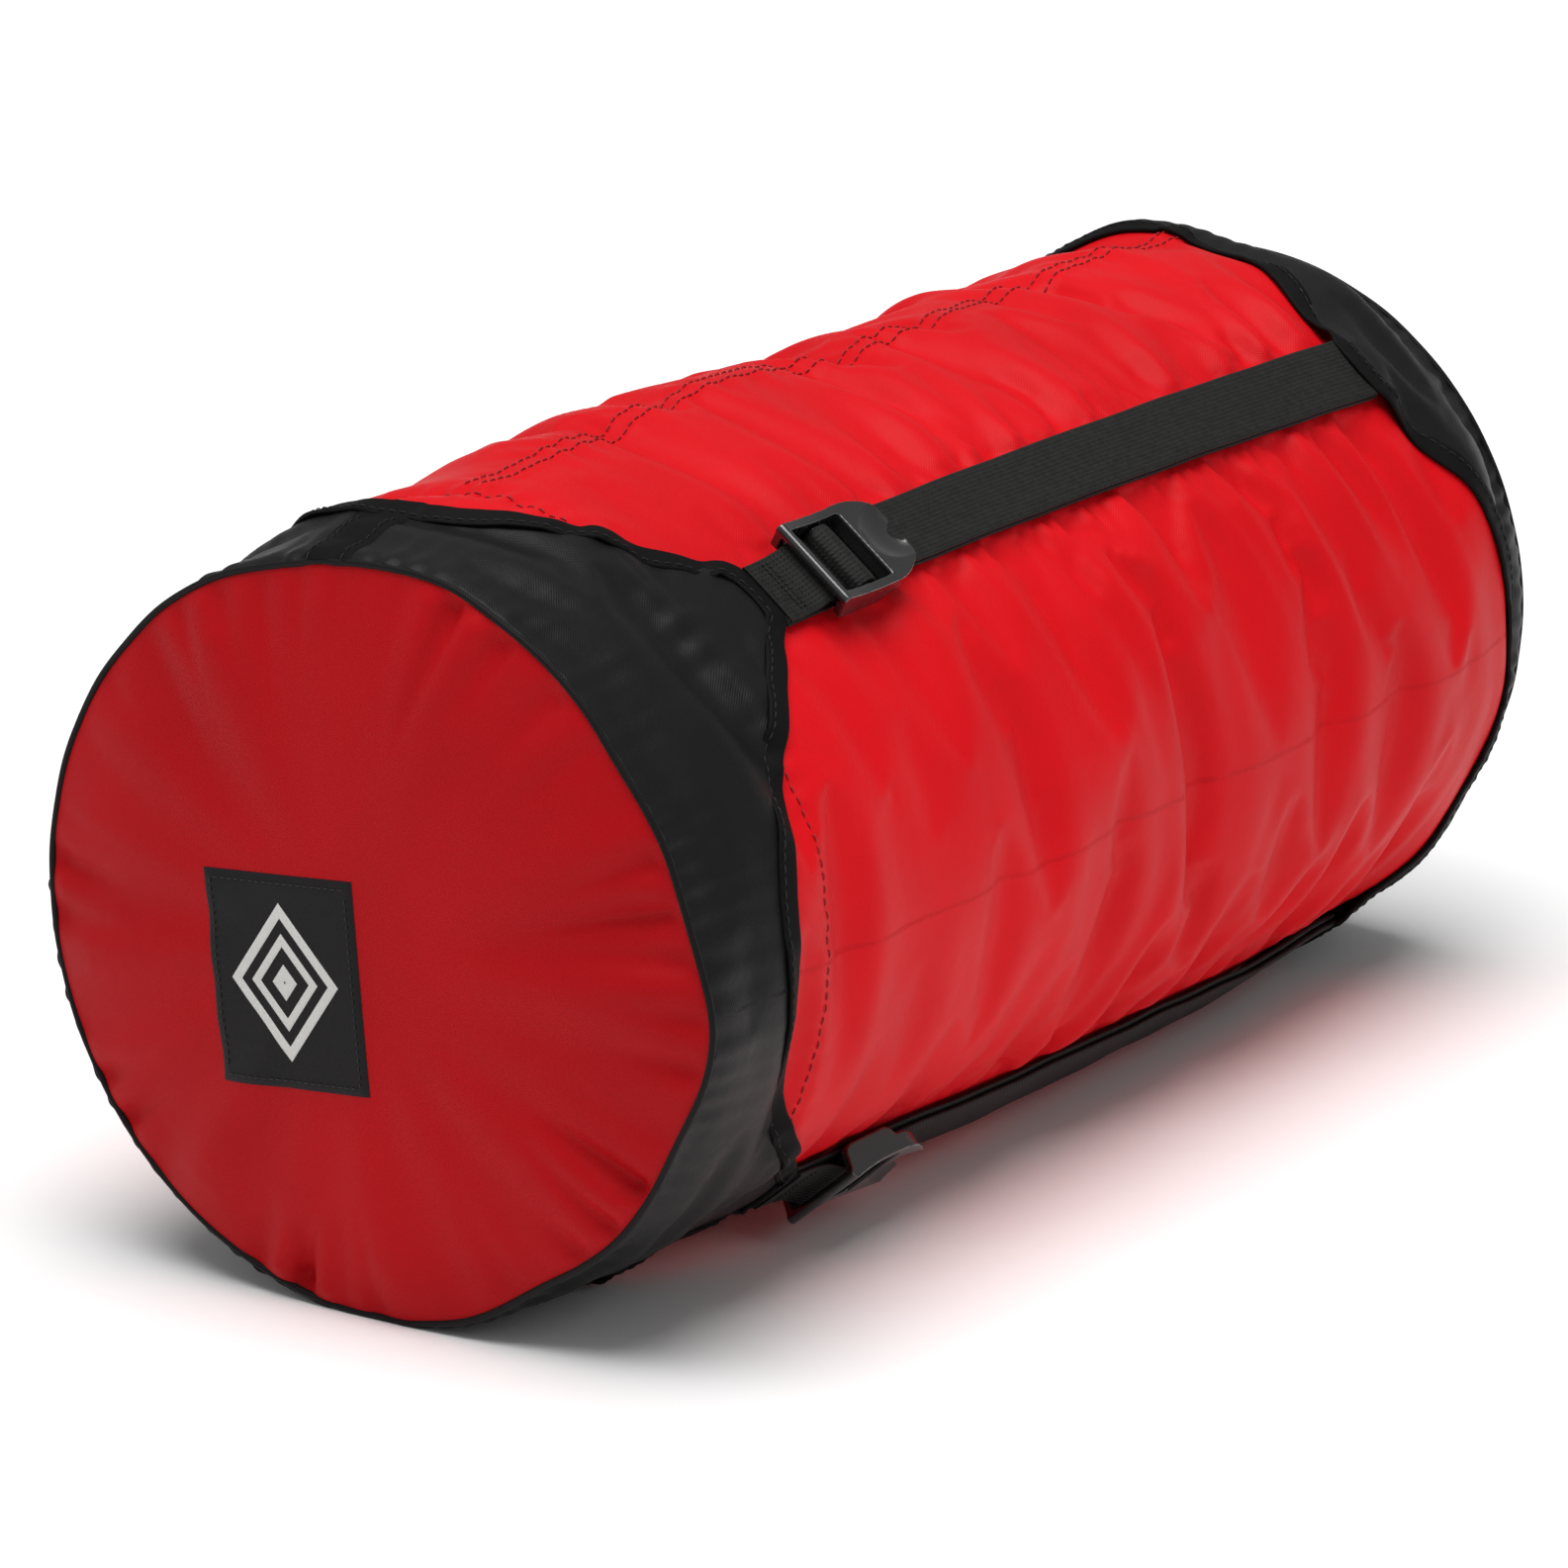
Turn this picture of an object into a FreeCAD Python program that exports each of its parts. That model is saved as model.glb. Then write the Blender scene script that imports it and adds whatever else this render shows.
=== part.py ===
"""Compression sack: a round stuff sack with a strapped-on lid, four ladder locks and a cinched mouth.

Frame: +Y runs along the sack from the lid to the bottom, +Z is up, and the origin lies on the ground under
the middle of the whole length. Along the sack, places are given as s, the distance from the lid's seam.
"""

import os

import FreeCAD
import Part
from math import radians, sin, sqrt

V = FreeCAD.Vector

# ---- driving dimensions, mm ----
BODY_R = 101.0            # outer radius of the body fabric
SACK_LENGTH = 425.0       # lid seam to bottom seam
BODY_WALL = 1.8           # thickness that stands for the stuffed fabric
SKIN = 1.2                # thickness that stands for a single panel
AXIS_Z = BODY_R           # height of the sack's axis
FLATTEN = 2.15            # how far the underside is pressed flat
STRAP_ANGLES = {"upper_right": 52.0, "upper_left": 142.0, "lower_left": 232.0, "lower_right": 310.0}

SEAM_GAP = 0.3            # air between layers that slide on each other
SKIRT_IN = SEAM_GAP
SKIRT_OUT = SKIRT_IN + SKIN
BINDING_OUT = 2.05
BINDING_WIDTH = 6.0
SKIRT_START = 1.3         # the skirt's first edge, just behind the piping
LID_CORNER_DEPTH = 89.0   # skirt depth under a strap
LID_CORNERS = {"upper_right": 89.0, "upper_left": 70.0, "lower_left": 89.0, "lower_right": 89.0}
LID_MID_DEPTH = 42.0      # skirt depth half way between straps
BOTTOM_CORNER_DEPTH = 53.0
BOTTOM_CORNERS = dict.fromkeys(STRAP_ANGLES, BOTTOM_CORNER_DEPTH)
BOTTOM_MID_DEPTH = 26.0
CORNER_HALF_ANGLE = 5.5   # half of a skirt's corner, in degrees
SCALLOP_POWER = 3
SCALLOP_STEPS = 4         # points on each side of a scallop's middle
CUTTER_Z = AXIS_Z + 40    # foot of the cutters that work at the top of the sack
CUTTER_HEIGHT = 90
CUTTER_REACH = 50         # how far a cutter runs past a skirt's edge

PANEL_R = BODY_R - 0.5    # rim of the two round end panels
PANEL_BULGE = 9.0
PIPING_R = 1.25
PIPING_OFFSET = 0.9       # piping's centre line outside the body surface

LABEL_WIDTH, LABEL_HEIGHT, LABEL_THICK = 47.0, 57.0, 0.8
SEWN_GAP = 0.05           # air under a piece that is sewn flat on a panel
LABEL_X, LABEL_Z, LABEL_TILT = -19.0, -11.0, 5.0

WEB = 20.0                # webbing width
WEB_THICK = 1.6
HALF_WEB = WEB / 2

# ladder lock, in strap coordinates: u along the sack from its hinge bar, w outward from the body
LOCK_S = LID_CORNER_DEPTH + 18.5   # s of the hinge bar, at a full corner
HINGE_BAR_W, HINGE_BAR_R = 4.4, 1.9
FRONT_BAR_U, FRONT_BAR_W, FRONT_BAR_R = -3.9, 9.0, 1.6
GRIP_BAR_U, GRIP_BAR_W, GRIP_BAR_R = 11.3, 4.6, 2.4
LOCK_HALF_WIDTH = 13.5
RAIL = 2.6                # width of a side rail
RAIL_UNDER_W = 1.4        # lowest edge of the rails
LOCK_LENGTH = 35.0
TAB_TOP_W, TAB_UNDER_W = 12.6, 10.2
DISH_U, DISH_R, DISH_FLOOR_W = 27.0, 16.0, 8.0
WINDOW_END_U = 19.5
GRIP_FLOOR_W = 4.5        # underside of the solid part behind the window
TAB_ROOM = 0.6            # how far the tab's round end stays inside the lock's length
LOAD_STRAP_START_U = 4.0
BIGHT_ROOM = 0.9          # air between the grip bar and the turn of strap over it
BIGHT_MIDDLE_W, BIGHT_FOOT_W = 4.1, 2.3
TAIL_W = 2.5              # underside of the strap's tail
TAIL_START_U = 17.7
LOCK_WEB_START_U = -17.5  # where the lock's own webbing comes out from the skirt's corner
STRAP_END_S = SACK_LENGTH - BOTTOM_CORNER_DEPTH - SEAM_GAP

# mouth
MOUTH_R = 23.0            # radius of the hem's centre line
MOUTH_S = 2.0
HEM_R, CHANNEL_R, CORD_R = 3.4, 2.0, 1.4
COLLAR_WALL = 1.2
BODY_START = 12.0         # s of the body fabric's front edge
COLLAR_LINE = [(98.5, 11.4), (92.0, 8.0), (80.0, 7.6), (62.0, 10.0), (44.0, 10.4), (31.0, 7.5), (25.0, 3.4)]
CORD_SPREAD = 1.55        # each lead's distance from the middle
CORD_BEND = 3.0           # radius where a lead turns out of the hem
EXIT_HALF_WIDTH, EXIT_HEIGHT = 5.75, 12.0   # the gap in the hem for the two leads
KNOT_R, KNOT_WIRE_R, KNOT_CORE_R = 2.6, 1.9, 3.2
LEAD_TOP = 62.0           # where the leads end, measured from the axis
LOCK_BARREL_R = 5.5
CORD_LOCK_Z = 46.0        # height of the cord lock above the axis
BARREL_BACK, BARREL_FRONT, BARREL_ROUND = -14.0, 7.5, 0.8
BORE_BACK = -12.0
PLUNGER_R, PLUNGER_BACK = 4.0, -5.5
PLUNGER_PROUD, PLUNGER_HEAD, PLUNGER_ROUND = 4.0, 4.0, 1.2
PLUNGER_TRAVEL = 3.6
CORD_SIDE = CORD_SPREAD + CORD_R + 0.25
SLOT_HALF_HEIGHT = CORD_R + 0.3
SPRING_WIRE_R, SPRING_R, SPRING_TURNS = 0.35, 2.6, 4

# haul handle on the bottom panel
HANDLE_FOOT_X = 62.0      # middle of each sewn foot
HANDLE_FOOT = 20.0
HANDLE_RISE = 24.0
HANDLE_PROFILE = ((-1, 0), (-0.55, 0.78), (0, 1), (0.55, 0.78), (1, 0))   # across and up, as shares

DOME_R = (PANEL_R ** 2 + PANEL_BULGE ** 2) / (2 * PANEL_BULGE)


def dome_s(x):
    """s of the bottom panel's outer face, at x across from its middle."""
    return SACK_LENGTH + PANEL_BULGE - DOME_R + sqrt(DOME_R ** 2 - x ** 2)


HANDLE_INNER_X = HANDLE_FOOT_X - HANDLE_FOOT / 2
HANDLE_LIFT_S = dome_s(HANDLE_INNER_X) + 0.4
FRONT_S = -PANEL_BULGE - SEWN_GAP - LABEL_THICK
BACK_S = HANDLE_LIFT_S + HANDLE_RISE + WEB_THICK
MIDDLE_S = (FRONT_S + BACK_S) / 2


def along(s):
    """Y of the place that is s from the lid seam."""
    return s - MIDDLE_S


def save(name, shape):
    shape.exportStep("parts/" + name + ".step")


# ---- the sack's section: a circle with a flat underside ----
def section_prism(offset, s0, s1):
    radius = BODY_R + offset
    flat_z = FLATTEN - offset
    half = sqrt(radius ** 2 - (AXIS_Z - flat_z) ** 2)
    left, right = V(-half, 0, flat_z), V(half, 0, flat_z)
    arc = Part.Arc(right, V(0, 0, AXIS_Z + radius), left).toShape()
    face = Part.Face(Part.Wire([arc, Part.LineSegment(left, right).toShape()]))
    face.translate(V(0, along(s0), 0))
    return face.extrude(V(0, s1 - s0, 0))


def section_shell(inner, outer, s0, s1):
    return section_prism(outer, s0, s1).cut(section_prism(inner, s0 - 1, s1 + 1))


def at_strap(shape, angle):
    """Turns a shape made at the top of the sack about the sack's axis to a strap's angle."""
    turned = shape.copy()
    turned.rotate(V(0, 0, AXIS_Z), V(0, 1, 0), 90.0 - angle)
    return turned


# ---- scalloped skirts and their bindings ----
def bays():
    """The stretches between neighbouring straps: (middle angle, half angle, place before, place after)."""
    places = list(STRAP_ANGLES)
    result = []
    for place, following in zip(places, places[1:] + places[:1]):
        gap = (STRAP_ANGLES[following] - STRAP_ANGLES[place]) % 360
        result.append((STRAP_ANGLES[place] + gap / 2, gap / 2 - CORNER_HALF_ANGLE, place, following))
    return result


def scallop_notch(half_angle, before, after, middle, outer):
    """The piece that a scallop takes out of a skirt, at the top of the sack.

    before and after are the skirt's depths at the scallop's two corners.
    """
    reach = (BODY_R + outer) * sin(radians(half_angle))
    points = []
    for i in range(-SCALLOP_STEPS, SCALLOP_STEPS + 1):
        share = i / SCALLOP_STEPS
        corner = after if i < 0 else before
        depth = middle + (corner - middle) * abs(share) ** SCALLOP_POWER
        points.append(V(reach * share, along(depth), 0))
    curve = Part.BSplineCurve()
    curve.interpolate(points)
    far = along(max(before, after) + CUTTER_REACH)
    a, b = V(reach, far, 0), V(-reach, far, 0)
    edges = [curve.toShape(), Part.LineSegment(points[-1], a).toShape(),
             Part.LineSegment(a, b).toShape(), Part.LineSegment(b, points[0]).toShape()]
    notch = Part.Face(Part.Wire(edges))
    notch.translate(V(0, 0, CUTTER_Z))
    return notch.extrude(V(0, 0, CUTTER_HEIGHT))


def corner_trim(depth, outer):
    """What is cut off a skirt's corner that ends at depth."""
    half_width = (BODY_R + outer) * sin(radians(CORNER_HALF_ANGLE)) + 0.5
    trim = Part.makeBox(2 * half_width, CUTTER_REACH, CUTTER_HEIGHT)
    trim.translate(V(-half_width, along(depth), CUTTER_Z))
    return trim


def scalloped(inner, outer, corners, middle, start=SKIRT_START):
    """A skirt round the sack from start to the depth that corners gives for each strap."""
    deepest = max(corners.values())
    skirt = section_shell(inner, outer, start, deepest)
    for angle, half_angle, before, after in bays():
        notch = scallop_notch(half_angle, corners[before], corners[after], middle, outer)
        skirt = skirt.cut(at_strap(notch, angle))
    for place, depth in corners.items():
        if depth < deepest:
            skirt = skirt.cut(at_strap(corner_trim(depth, outer), STRAP_ANGLES[place]))
    return skirt


def edge_binding(corners, middle):
    inner = SKIRT_OUT + 0.05
    start = middle - 2 * BINDING_WIDTH
    whole = scalloped(inner, BINDING_OUT, corners, middle, start)
    set_back = {place: depth - BINDING_WIDTH for place, depth in corners.items()}
    return whole.cut(scalloped(inner - 1, BINDING_OUT + 1, set_back, middle - BINDING_WIDTH, start - 1))


def to_bottom(shape):
    """Mirrors a shape made for the lid end to the bottom end."""
    return shape.mirror(V(0, along(SACK_LENGTH / 2), 0), V(0, 1, 0))


# ---- round end panels, piping and label, made for the lid end ----
def dome_shell(inner, outer):
    centre = V(0, along(DOME_R - PANEL_BULGE), AXIS_Z)
    return Part.makeSphere(DOME_R + outer, centre).cut(Part.makeSphere(DOME_R + inner, centre))


def end_panel():
    return dome_shell(-SKIN, 0).common(section_prism(PANEL_R - BODY_R, -2 * PANEL_BULGE, PANEL_BULGE))


def piping():
    """A round cord that follows the section: a ring, and a straight stretch along the flat."""
    radius = BODY_R + PIPING_OFFSET
    flat_z = FLATTEN - PIPING_OFFSET
    half = sqrt(radius ** 2 - (AXIS_Z - flat_z) ** 2)
    ring = Part.makeTorus(radius, PIPING_R, V(0, along(0), AXIS_Z), V(0, 1, 0))
    below = Part.makeBox(4 * half, 4 * PIPING_R, 20)
    below.translate(V(-2 * half, along(0) - 2 * PIPING_R, flat_z - 20))
    straight = Part.makeCylinder(PIPING_R, 2 * half, V(-half, along(0), flat_z), V(1, 0, 0))
    ends = [Part.makeSphere(PIPING_R, V(x, along(0), flat_z)) for x in (-half, half)]
    return ring.cut(below).fuse([straight] + ends).removeSplitter()


def label_patch():
    block = Part.makeBox(LABEL_WIDTH, 40, LABEL_HEIGHT)
    block.translate(V(-LABEL_WIDTH / 2, along(-30), -LABEL_HEIGHT / 2))
    block.rotate(V(0, 0, 0), V(0, 1, 0), -LABEL_TILT)
    block.translate(V(LABEL_X, 0, AXIS_Z + LABEL_Z))
    return dome_shell(SEWN_GAP, SEWN_GAP + LABEL_THICK).common(block)


# ---- straps, made at the top of the sack: x across, u along, w out ----
def flat_web(u0, u1, w0):
    box = Part.makeBox(WEB, u1 - u0, WEB_THICK)
    box.translate(V(-HALF_WEB, along(LOCK_S + u0), AXIS_Z + BODY_R + w0))
    return box


def bar(u, w, radius, half_length):
    return Part.makeCylinder(radius, 2 * half_length,
                             V(-half_length, along(LOCK_S + u), AXIS_Z + BODY_R + w), V(1, 0, 0))


def uw_point(u, w):
    return V(0, along(LOCK_S + u), AXIS_Z + BODY_R + w)


def across(face, half_width):
    """Extrudes a face of the u-w plane to both sides."""
    face.translate(V(-half_width, 0, 0))
    return face.extrude(V(2 * half_width, 0, 0))


def lock_web():
    """The short webbing that is wrapped round the hinge bar and sewn, doubled, to the lid's corner."""
    inner_r = HINGE_BAR_R + 0.1
    low_w = HINGE_BAR_W - inner_r - WEB_THICK
    doubled = Part.makeBox(WEB, -LOCK_WEB_START_U, 2 * WEB_THICK)
    doubled.translate(V(-HALF_WEB, along(LOCK_S + LOCK_WEB_START_U), AXIS_Z + BODY_R + low_w))
    wrap = bar(0, HINGE_BAR_W, inner_r + WEB_THICK, HALF_WEB)
    return wrap.fuse(doubled).cut(bar(0, HINGE_BAR_W, inner_r, WEB)).removeSplitter()


def load_strap(advance):
    """The strap's loaded run, from the ladder lock to the bottom skirt's corner, where it is sewn in."""
    return flat_web(LOAD_STRAP_START_U - advance, STRAP_END_S - LOCK_S, SEAM_GAP)


def strap_bight():
    """The turn of strap over the grip bar."""
    inner_r = GRIP_BAR_R + BIGHT_ROOM
    outer_r = inner_r + WEB_THICK

    def arch(radius, half_width):
        post = Part.makeBox(2 * half_width, 2 * radius, BIGHT_MIDDLE_W - BIGHT_FOOT_W)
        post_z = AXIS_Z + BODY_R + BIGHT_FOOT_W
        post.translate(V(-half_width, along(LOCK_S + GRIP_BAR_U) - radius, post_z))
        return bar(GRIP_BAR_U, BIGHT_MIDDLE_W, radius, half_width).fuse(post)

    under = Part.makeBox(4 * WEB, 4 * WEB, WEB)
    under.translate(V(-2 * WEB, along(LOCK_S) - 2 * WEB, AXIS_Z + BODY_R + BIGHT_FOOT_W - WEB))
    return arch(outer_r, HALF_WEB).cut(arch(inner_r, WEB)).cut(under)


def strap_tail(advance):
    """The free end: it leaves under the tab and lies on the whole of the loaded run."""
    return flat_web(TAIL_START_U - advance, STRAP_END_S - LOCK_S, TAIL_W)


def lock_side_face():
    """The lock seen from its side: it dips behind its front bar and curves up to the thumb tab's end."""
    end_u = LOCK_LENGTH
    grip_u = WINDOW_END_U - 0.5
    front_top = uw_point(FRONT_BAR_U, FRONT_BAR_W + FRONT_BAR_R)
    front_back = uw_point(FRONT_BAR_U - FRONT_BAR_R, FRONT_BAR_W)
    front_foot = uw_point(FRONT_BAR_U - 0.6, FRONT_BAR_W - FRONT_BAR_R)
    hinge_back = uw_point(-HINGE_BAR_R - 0.6, HINGE_BAR_W - 2)
    top = Part.BSplineCurve()
    top.interpolate([front_top, uw_point(3, 9.7), uw_point(11, 9.2), uw_point(WINDOW_END_U, 9.4),
                     uw_point(end_u - 10, 10.0), uw_point(end_u, TAB_TOP_W)])
    under = Part.BSplineCurve()
    window_foot = uw_point(grip_u, GRIP_FLOOR_W)
    under.interpolate([uw_point(end_u, TAB_UNDER_W), uw_point(end_u - 6, 7.2), uw_point(end_u - 11, 5.1),
                       window_foot])
    rail_foot = uw_point(grip_u - 3.5, RAIL_UNDER_W)
    rail_back = uw_point(0, RAIL_UNDER_W)
    edges = [top.toShape(),
             Part.LineSegment(uw_point(end_u, TAB_TOP_W), uw_point(end_u, TAB_UNDER_W)).toShape(),
             under.toShape(),
             Part.Arc(window_foot, uw_point(grip_u - 0.9, 2.6), rail_foot).toShape(),
             Part.LineSegment(rail_foot, rail_back).toShape(),
             Part.LineSegment(rail_back, hinge_back).toShape(),
             Part.LineSegment(hinge_back, front_foot).toShape(),
             Part.Arc(front_foot, front_back, front_top).toShape()]
    return Part.Face(Part.Wire(edges))


def lock_plan_face():
    """The lock seen from above: straight rails that run into a round thumb tab."""
    x = LOCK_HALF_WIDTH
    y0 = along(LOCK_S + FRONT_BAR_U - 2 * FRONT_BAR_R)
    y1 = along(LOCK_S + LOCK_LENGTH - LOCK_HALF_WIDTH)
    y2 = along(LOCK_S + LOCK_LENGTH - TAB_ROOM)
    bow_x, bow_y = 0.76 * x, y1 + 0.64 * (y2 - y1)
    tip_x, tip_y = 0.3 * x, y2 - 0.4
    plan = Part.Wire([Part.LineSegment(V(-x, y0, 0), V(-x, y1, 0)).toShape(),
                      Part.Arc(V(-x, y1, 0), V(-bow_x, bow_y, 0), V(-tip_x, tip_y, 0)).toShape(),
                      Part.Arc(V(-tip_x, tip_y, 0), V(0, y2, 0), V(tip_x, tip_y, 0)).toShape(),
                      Part.Arc(V(tip_x, tip_y, 0), V(bow_x, bow_y, 0), V(x, y1, 0)).toShape(),
                      Part.LineSegment(V(x, y1, 0), V(x, y0, 0)).toShape(),
                      Part.LineSegment(V(x, y0, 0), V(-x, y0, 0)).toShape()])
    return Part.Face(plan)


def ladder_lock():
    """One moulded piece: two rails, a front bar, a hinge bar, a grip bar and a thumb tab with a dish."""
    frame = across(lock_side_face(), LOCK_HALF_WIDTH + 1)
    outline = lock_plan_face()
    outline.translate(V(0, 0, CUTTER_Z))
    frame = frame.common(outline.extrude(V(0, 0, CUTTER_HEIGHT)))
    inside = LOCK_HALF_WIDTH - RAIL
    window_start_u = FRONT_BAR_U - 2 * FRONT_BAR_R
    window = Part.makeBox(2 * inside, WINDOW_END_U - window_start_u, CUTTER_HEIGHT)
    window.translate(V(-inside, along(LOCK_S + window_start_u), CUTTER_Z))
    frame = frame.cut(window)
    frame = frame.cut(Part.makeSphere(DISH_R, uw_point(DISH_U, DISH_FLOOR_W + DISH_R)))
    bar_half = inside + RAIL / 2
    return frame.fuse([bar(FRONT_BAR_U, FRONT_BAR_W, FRONT_BAR_R, bar_half),
                       bar(0, HINGE_BAR_W, HINGE_BAR_R, bar_half),
                       bar(GRIP_BAR_U, GRIP_BAR_W, GRIP_BAR_R, bar_half)]).removeSplitter()


# ---- mouth: gathered collar, hem, drawcord and cord lock ----
def collar():
    front, back = Part.BSplineCurve(), Part.BSplineCurve()
    points = [V(r, along(s), AXIS_Z) for r, s in COLLAR_LINE]
    inner = [V(r - SEAM_GAP, along(s + COLLAR_WALL), AXIS_Z) for r, s in COLLAR_LINE]
    front.interpolate(points)
    back.interpolate(inner)
    edges = [front.toShape(), Part.LineSegment(points[-1], inner[-1]).toShape(),
             back.toShape(), Part.LineSegment(inner[0], points[0]).toShape()]
    funnel = Part.Face(Part.Wire(edges)).revolve(V(0, 0, AXIS_Z), V(0, 1, 0), 360)
    funnel = funnel.common(section_prism(-BODY_WALL - SEAM_GAP, 0, 2 * BODY_START))
    centre = V(0, along(MOUTH_S), AXIS_Z)
    hem = Part.makeTorus(MOUTH_R, HEM_R, centre, V(0, 1, 0))
    channel = Part.makeTorus(MOUTH_R, CHANNEL_R, centre, V(0, 1, 0))
    exit_hole = Part.makeBox(2 * EXIT_HALF_WIDTH, 2 * CHANNEL_R, EXIT_HEIGHT)
    exit_hole.translate(V(-EXIT_HALF_WIDTH, along(MOUTH_S) - CHANNEL_R, AXIS_Z + MOUTH_R - 0.6))
    return funnel.fuse(hem).cut(channel).cut(exit_hole)


def drawcord():
    """One cord: round the hem's channel and out at the top as two leads, with an overhand knot."""
    y = along(MOUTH_S)
    centre_x = CORD_SPREAD + CORD_BEND
    centre_z = sqrt((MOUTH_R + CORD_BEND) ** 2 - centre_x ** 2)
    share = MOUTH_R / (MOUTH_R + CORD_BEND)
    turn = CORD_BEND / sqrt(2)

    def at(x, z):
        return V(x, y, AXIS_Z + z)

    top_left, top_right = at(-CORD_SPREAD, LEAD_TOP), at(CORD_SPREAD, LEAD_TOP)
    in_left, in_right = at(-CORD_SPREAD, centre_z), at(CORD_SPREAD, centre_z)
    ring_left = at(-centre_x * share, centre_z * share)
    ring_right = at(centre_x * share, centre_z * share)
    path = Part.Wire([
        Part.LineSegment(top_right, in_right).toShape(),
        Part.Arc(in_right, at(centre_x - turn, centre_z - turn), ring_right).toShape(),
        Part.Arc(ring_right, at(0, -MOUTH_R), ring_left).toShape(),
        Part.Arc(ring_left, at(turn - centre_x, centre_z - turn), in_left).toShape(),
        Part.LineSegment(in_left, top_left).toShape()])
    profile = Part.Wire(Part.Circle(top_right, V(0, 0, 1), CORD_R).toShape())
    cord = path.makePipeShell([profile], True, True)
    knot = Part.makeTorus(KNOT_R, KNOT_WIRE_R, at(0, LEAD_TOP + 1), V(0, 1, 0))
    core_foot = at(0, LEAD_TOP + 1) - V(0, KNOT_CORE_R / 2, 0)
    core = Part.makeCylinder(KNOT_CORE_R, KNOT_CORE_R, core_foot, V(0, 1, 0))
    return cord.fuse([knot, core])


def lock_cylinder(radius, x0, x1):
    return Part.makeCylinder(radius, x1 - x0, V(x0, along(MOUTH_S), AXIS_Z + CORD_LOCK_Z), V(1, 0, 0))


def cord_slot(x0, x1):
    """The way of the two leads up through the cord lock."""
    height = 6 * LOCK_BARREL_R
    slot = Part.makeBox(x1 - x0, 2 * SLOT_HALF_HEIGHT, height)
    slot.translate(V(x0, along(MOUTH_S) - SLOT_HALF_HEIGHT, AXIS_Z + CORD_LOCK_Z - height / 2))
    return slot


def cord_lock_barrel():
    barrel = lock_cylinder(LOCK_BARREL_R, BARREL_BACK, BARREL_FRONT)
    barrel = barrel.makeFillet(BARREL_ROUND, barrel.Edges)
    barrel = barrel.cut(lock_cylinder(PLUNGER_R + 0.1, BORE_BACK, BARREL_FRONT + 1))
    return barrel.cut(cord_slot(-CORD_SIDE, CORD_SIDE))


def cord_lock_plunger():
    head_x = BARREL_FRONT + PLUNGER_PROUD
    stem = lock_cylinder(PLUNGER_R, PLUNGER_BACK, head_x)
    head = lock_cylinder(LOCK_BARREL_R - 0.3, head_x, head_x + PLUNGER_HEAD)
    head = head.makeFillet(PLUNGER_ROUND, head.Edges)
    return stem.fuse(head).cut(cord_slot(-CORD_SIDE, CORD_SIDE + PLUNGER_TRAVEL))


def cord_lock_spring():
    length = PLUNGER_BACK - 0.3 - BORE_BACK - 2 * SPRING_WIRE_R
    helix = Part.makeHelix(length / SPRING_TURNS, length, SPRING_R)
    profile = Part.Wire(Part.Circle(V(SPRING_R, 0, 0), V(0, 1, 0), SPRING_WIRE_R).toShape())
    coil = Part.Wire(helix.Edges).makePipeShell([profile], True, True)
    coil.rotate(V(0, 0, 0), V(0, 1, 0), 90)
    coil.translate(V(BORE_BACK + SPRING_WIRE_R + 0.1, along(MOUTH_S), AXIS_Z + CORD_LOCK_Z))
    return coil


# ---- haul handle on the bottom ----
def handle_arch():
    """The free middle of the handle: an arch of webbing between its two sewn feet."""
    low = [V(x * HANDLE_INNER_X, along(HANDLE_LIFT_S + rise * HANDLE_RISE), 0) for x, rise in HANDLE_PROFILE]
    high = [p + V(0, WEB_THICK, 0) for p in low]
    inner, outer = Part.BSplineCurve(), Part.BSplineCurve()
    inner.interpolate(low)
    outer.interpolate(high)
    face = Part.Face(Part.Wire([inner.toShape(), Part.LineSegment(low[-1], high[-1]).toShape(),
                                outer.toShape(), Part.LineSegment(high[0], low[0]).toShape()]))
    face.translate(V(0, 0, AXIS_Z - HALF_WEB))
    return face.extrude(V(0, 0, WEB))


def handle_feet():
    """The two ends of the handle's webbing, sewn flat on the panel."""
    feet = []
    for side in (-1, 1):
        block = Part.makeBox(HANDLE_FOOT - 2 * SEAM_GAP, 40, WEB)
        corner_x = side * HANDLE_FOOT_X - HANDLE_FOOT / 2 + SEAM_GAP
        block.translate(V(corner_x, along(SACK_LENGTH - 20), AXIS_Z - HALF_WEB))
        feet.append(to_bottom(dome_shell(SEWN_GAP, SEWN_GAP + WEB_THICK)).common(block))
    return Part.makeCompound(feet)


# ---- body ----
def body_tube():
    tube = section_shell(-BODY_WALL, 0, BODY_START, SACK_LENGTH - 1.5)
    margin = 2 * BINDING_WIDTH
    start, end = LID_CORNER_DEPTH + margin, SACK_LENGTH - BOTTOM_CORNER_DEPTH - margin
    half = sqrt(BODY_R ** 2 - (AXIS_Z - FLATTEN) ** 2)
    pressed = Part.makeBox(2 * half, end - start, FLATTEN + 0.5)
    pressed.translate(V(-half, along(start), 0))
    return tube.fuse(pressed).removeSplitter()


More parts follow.
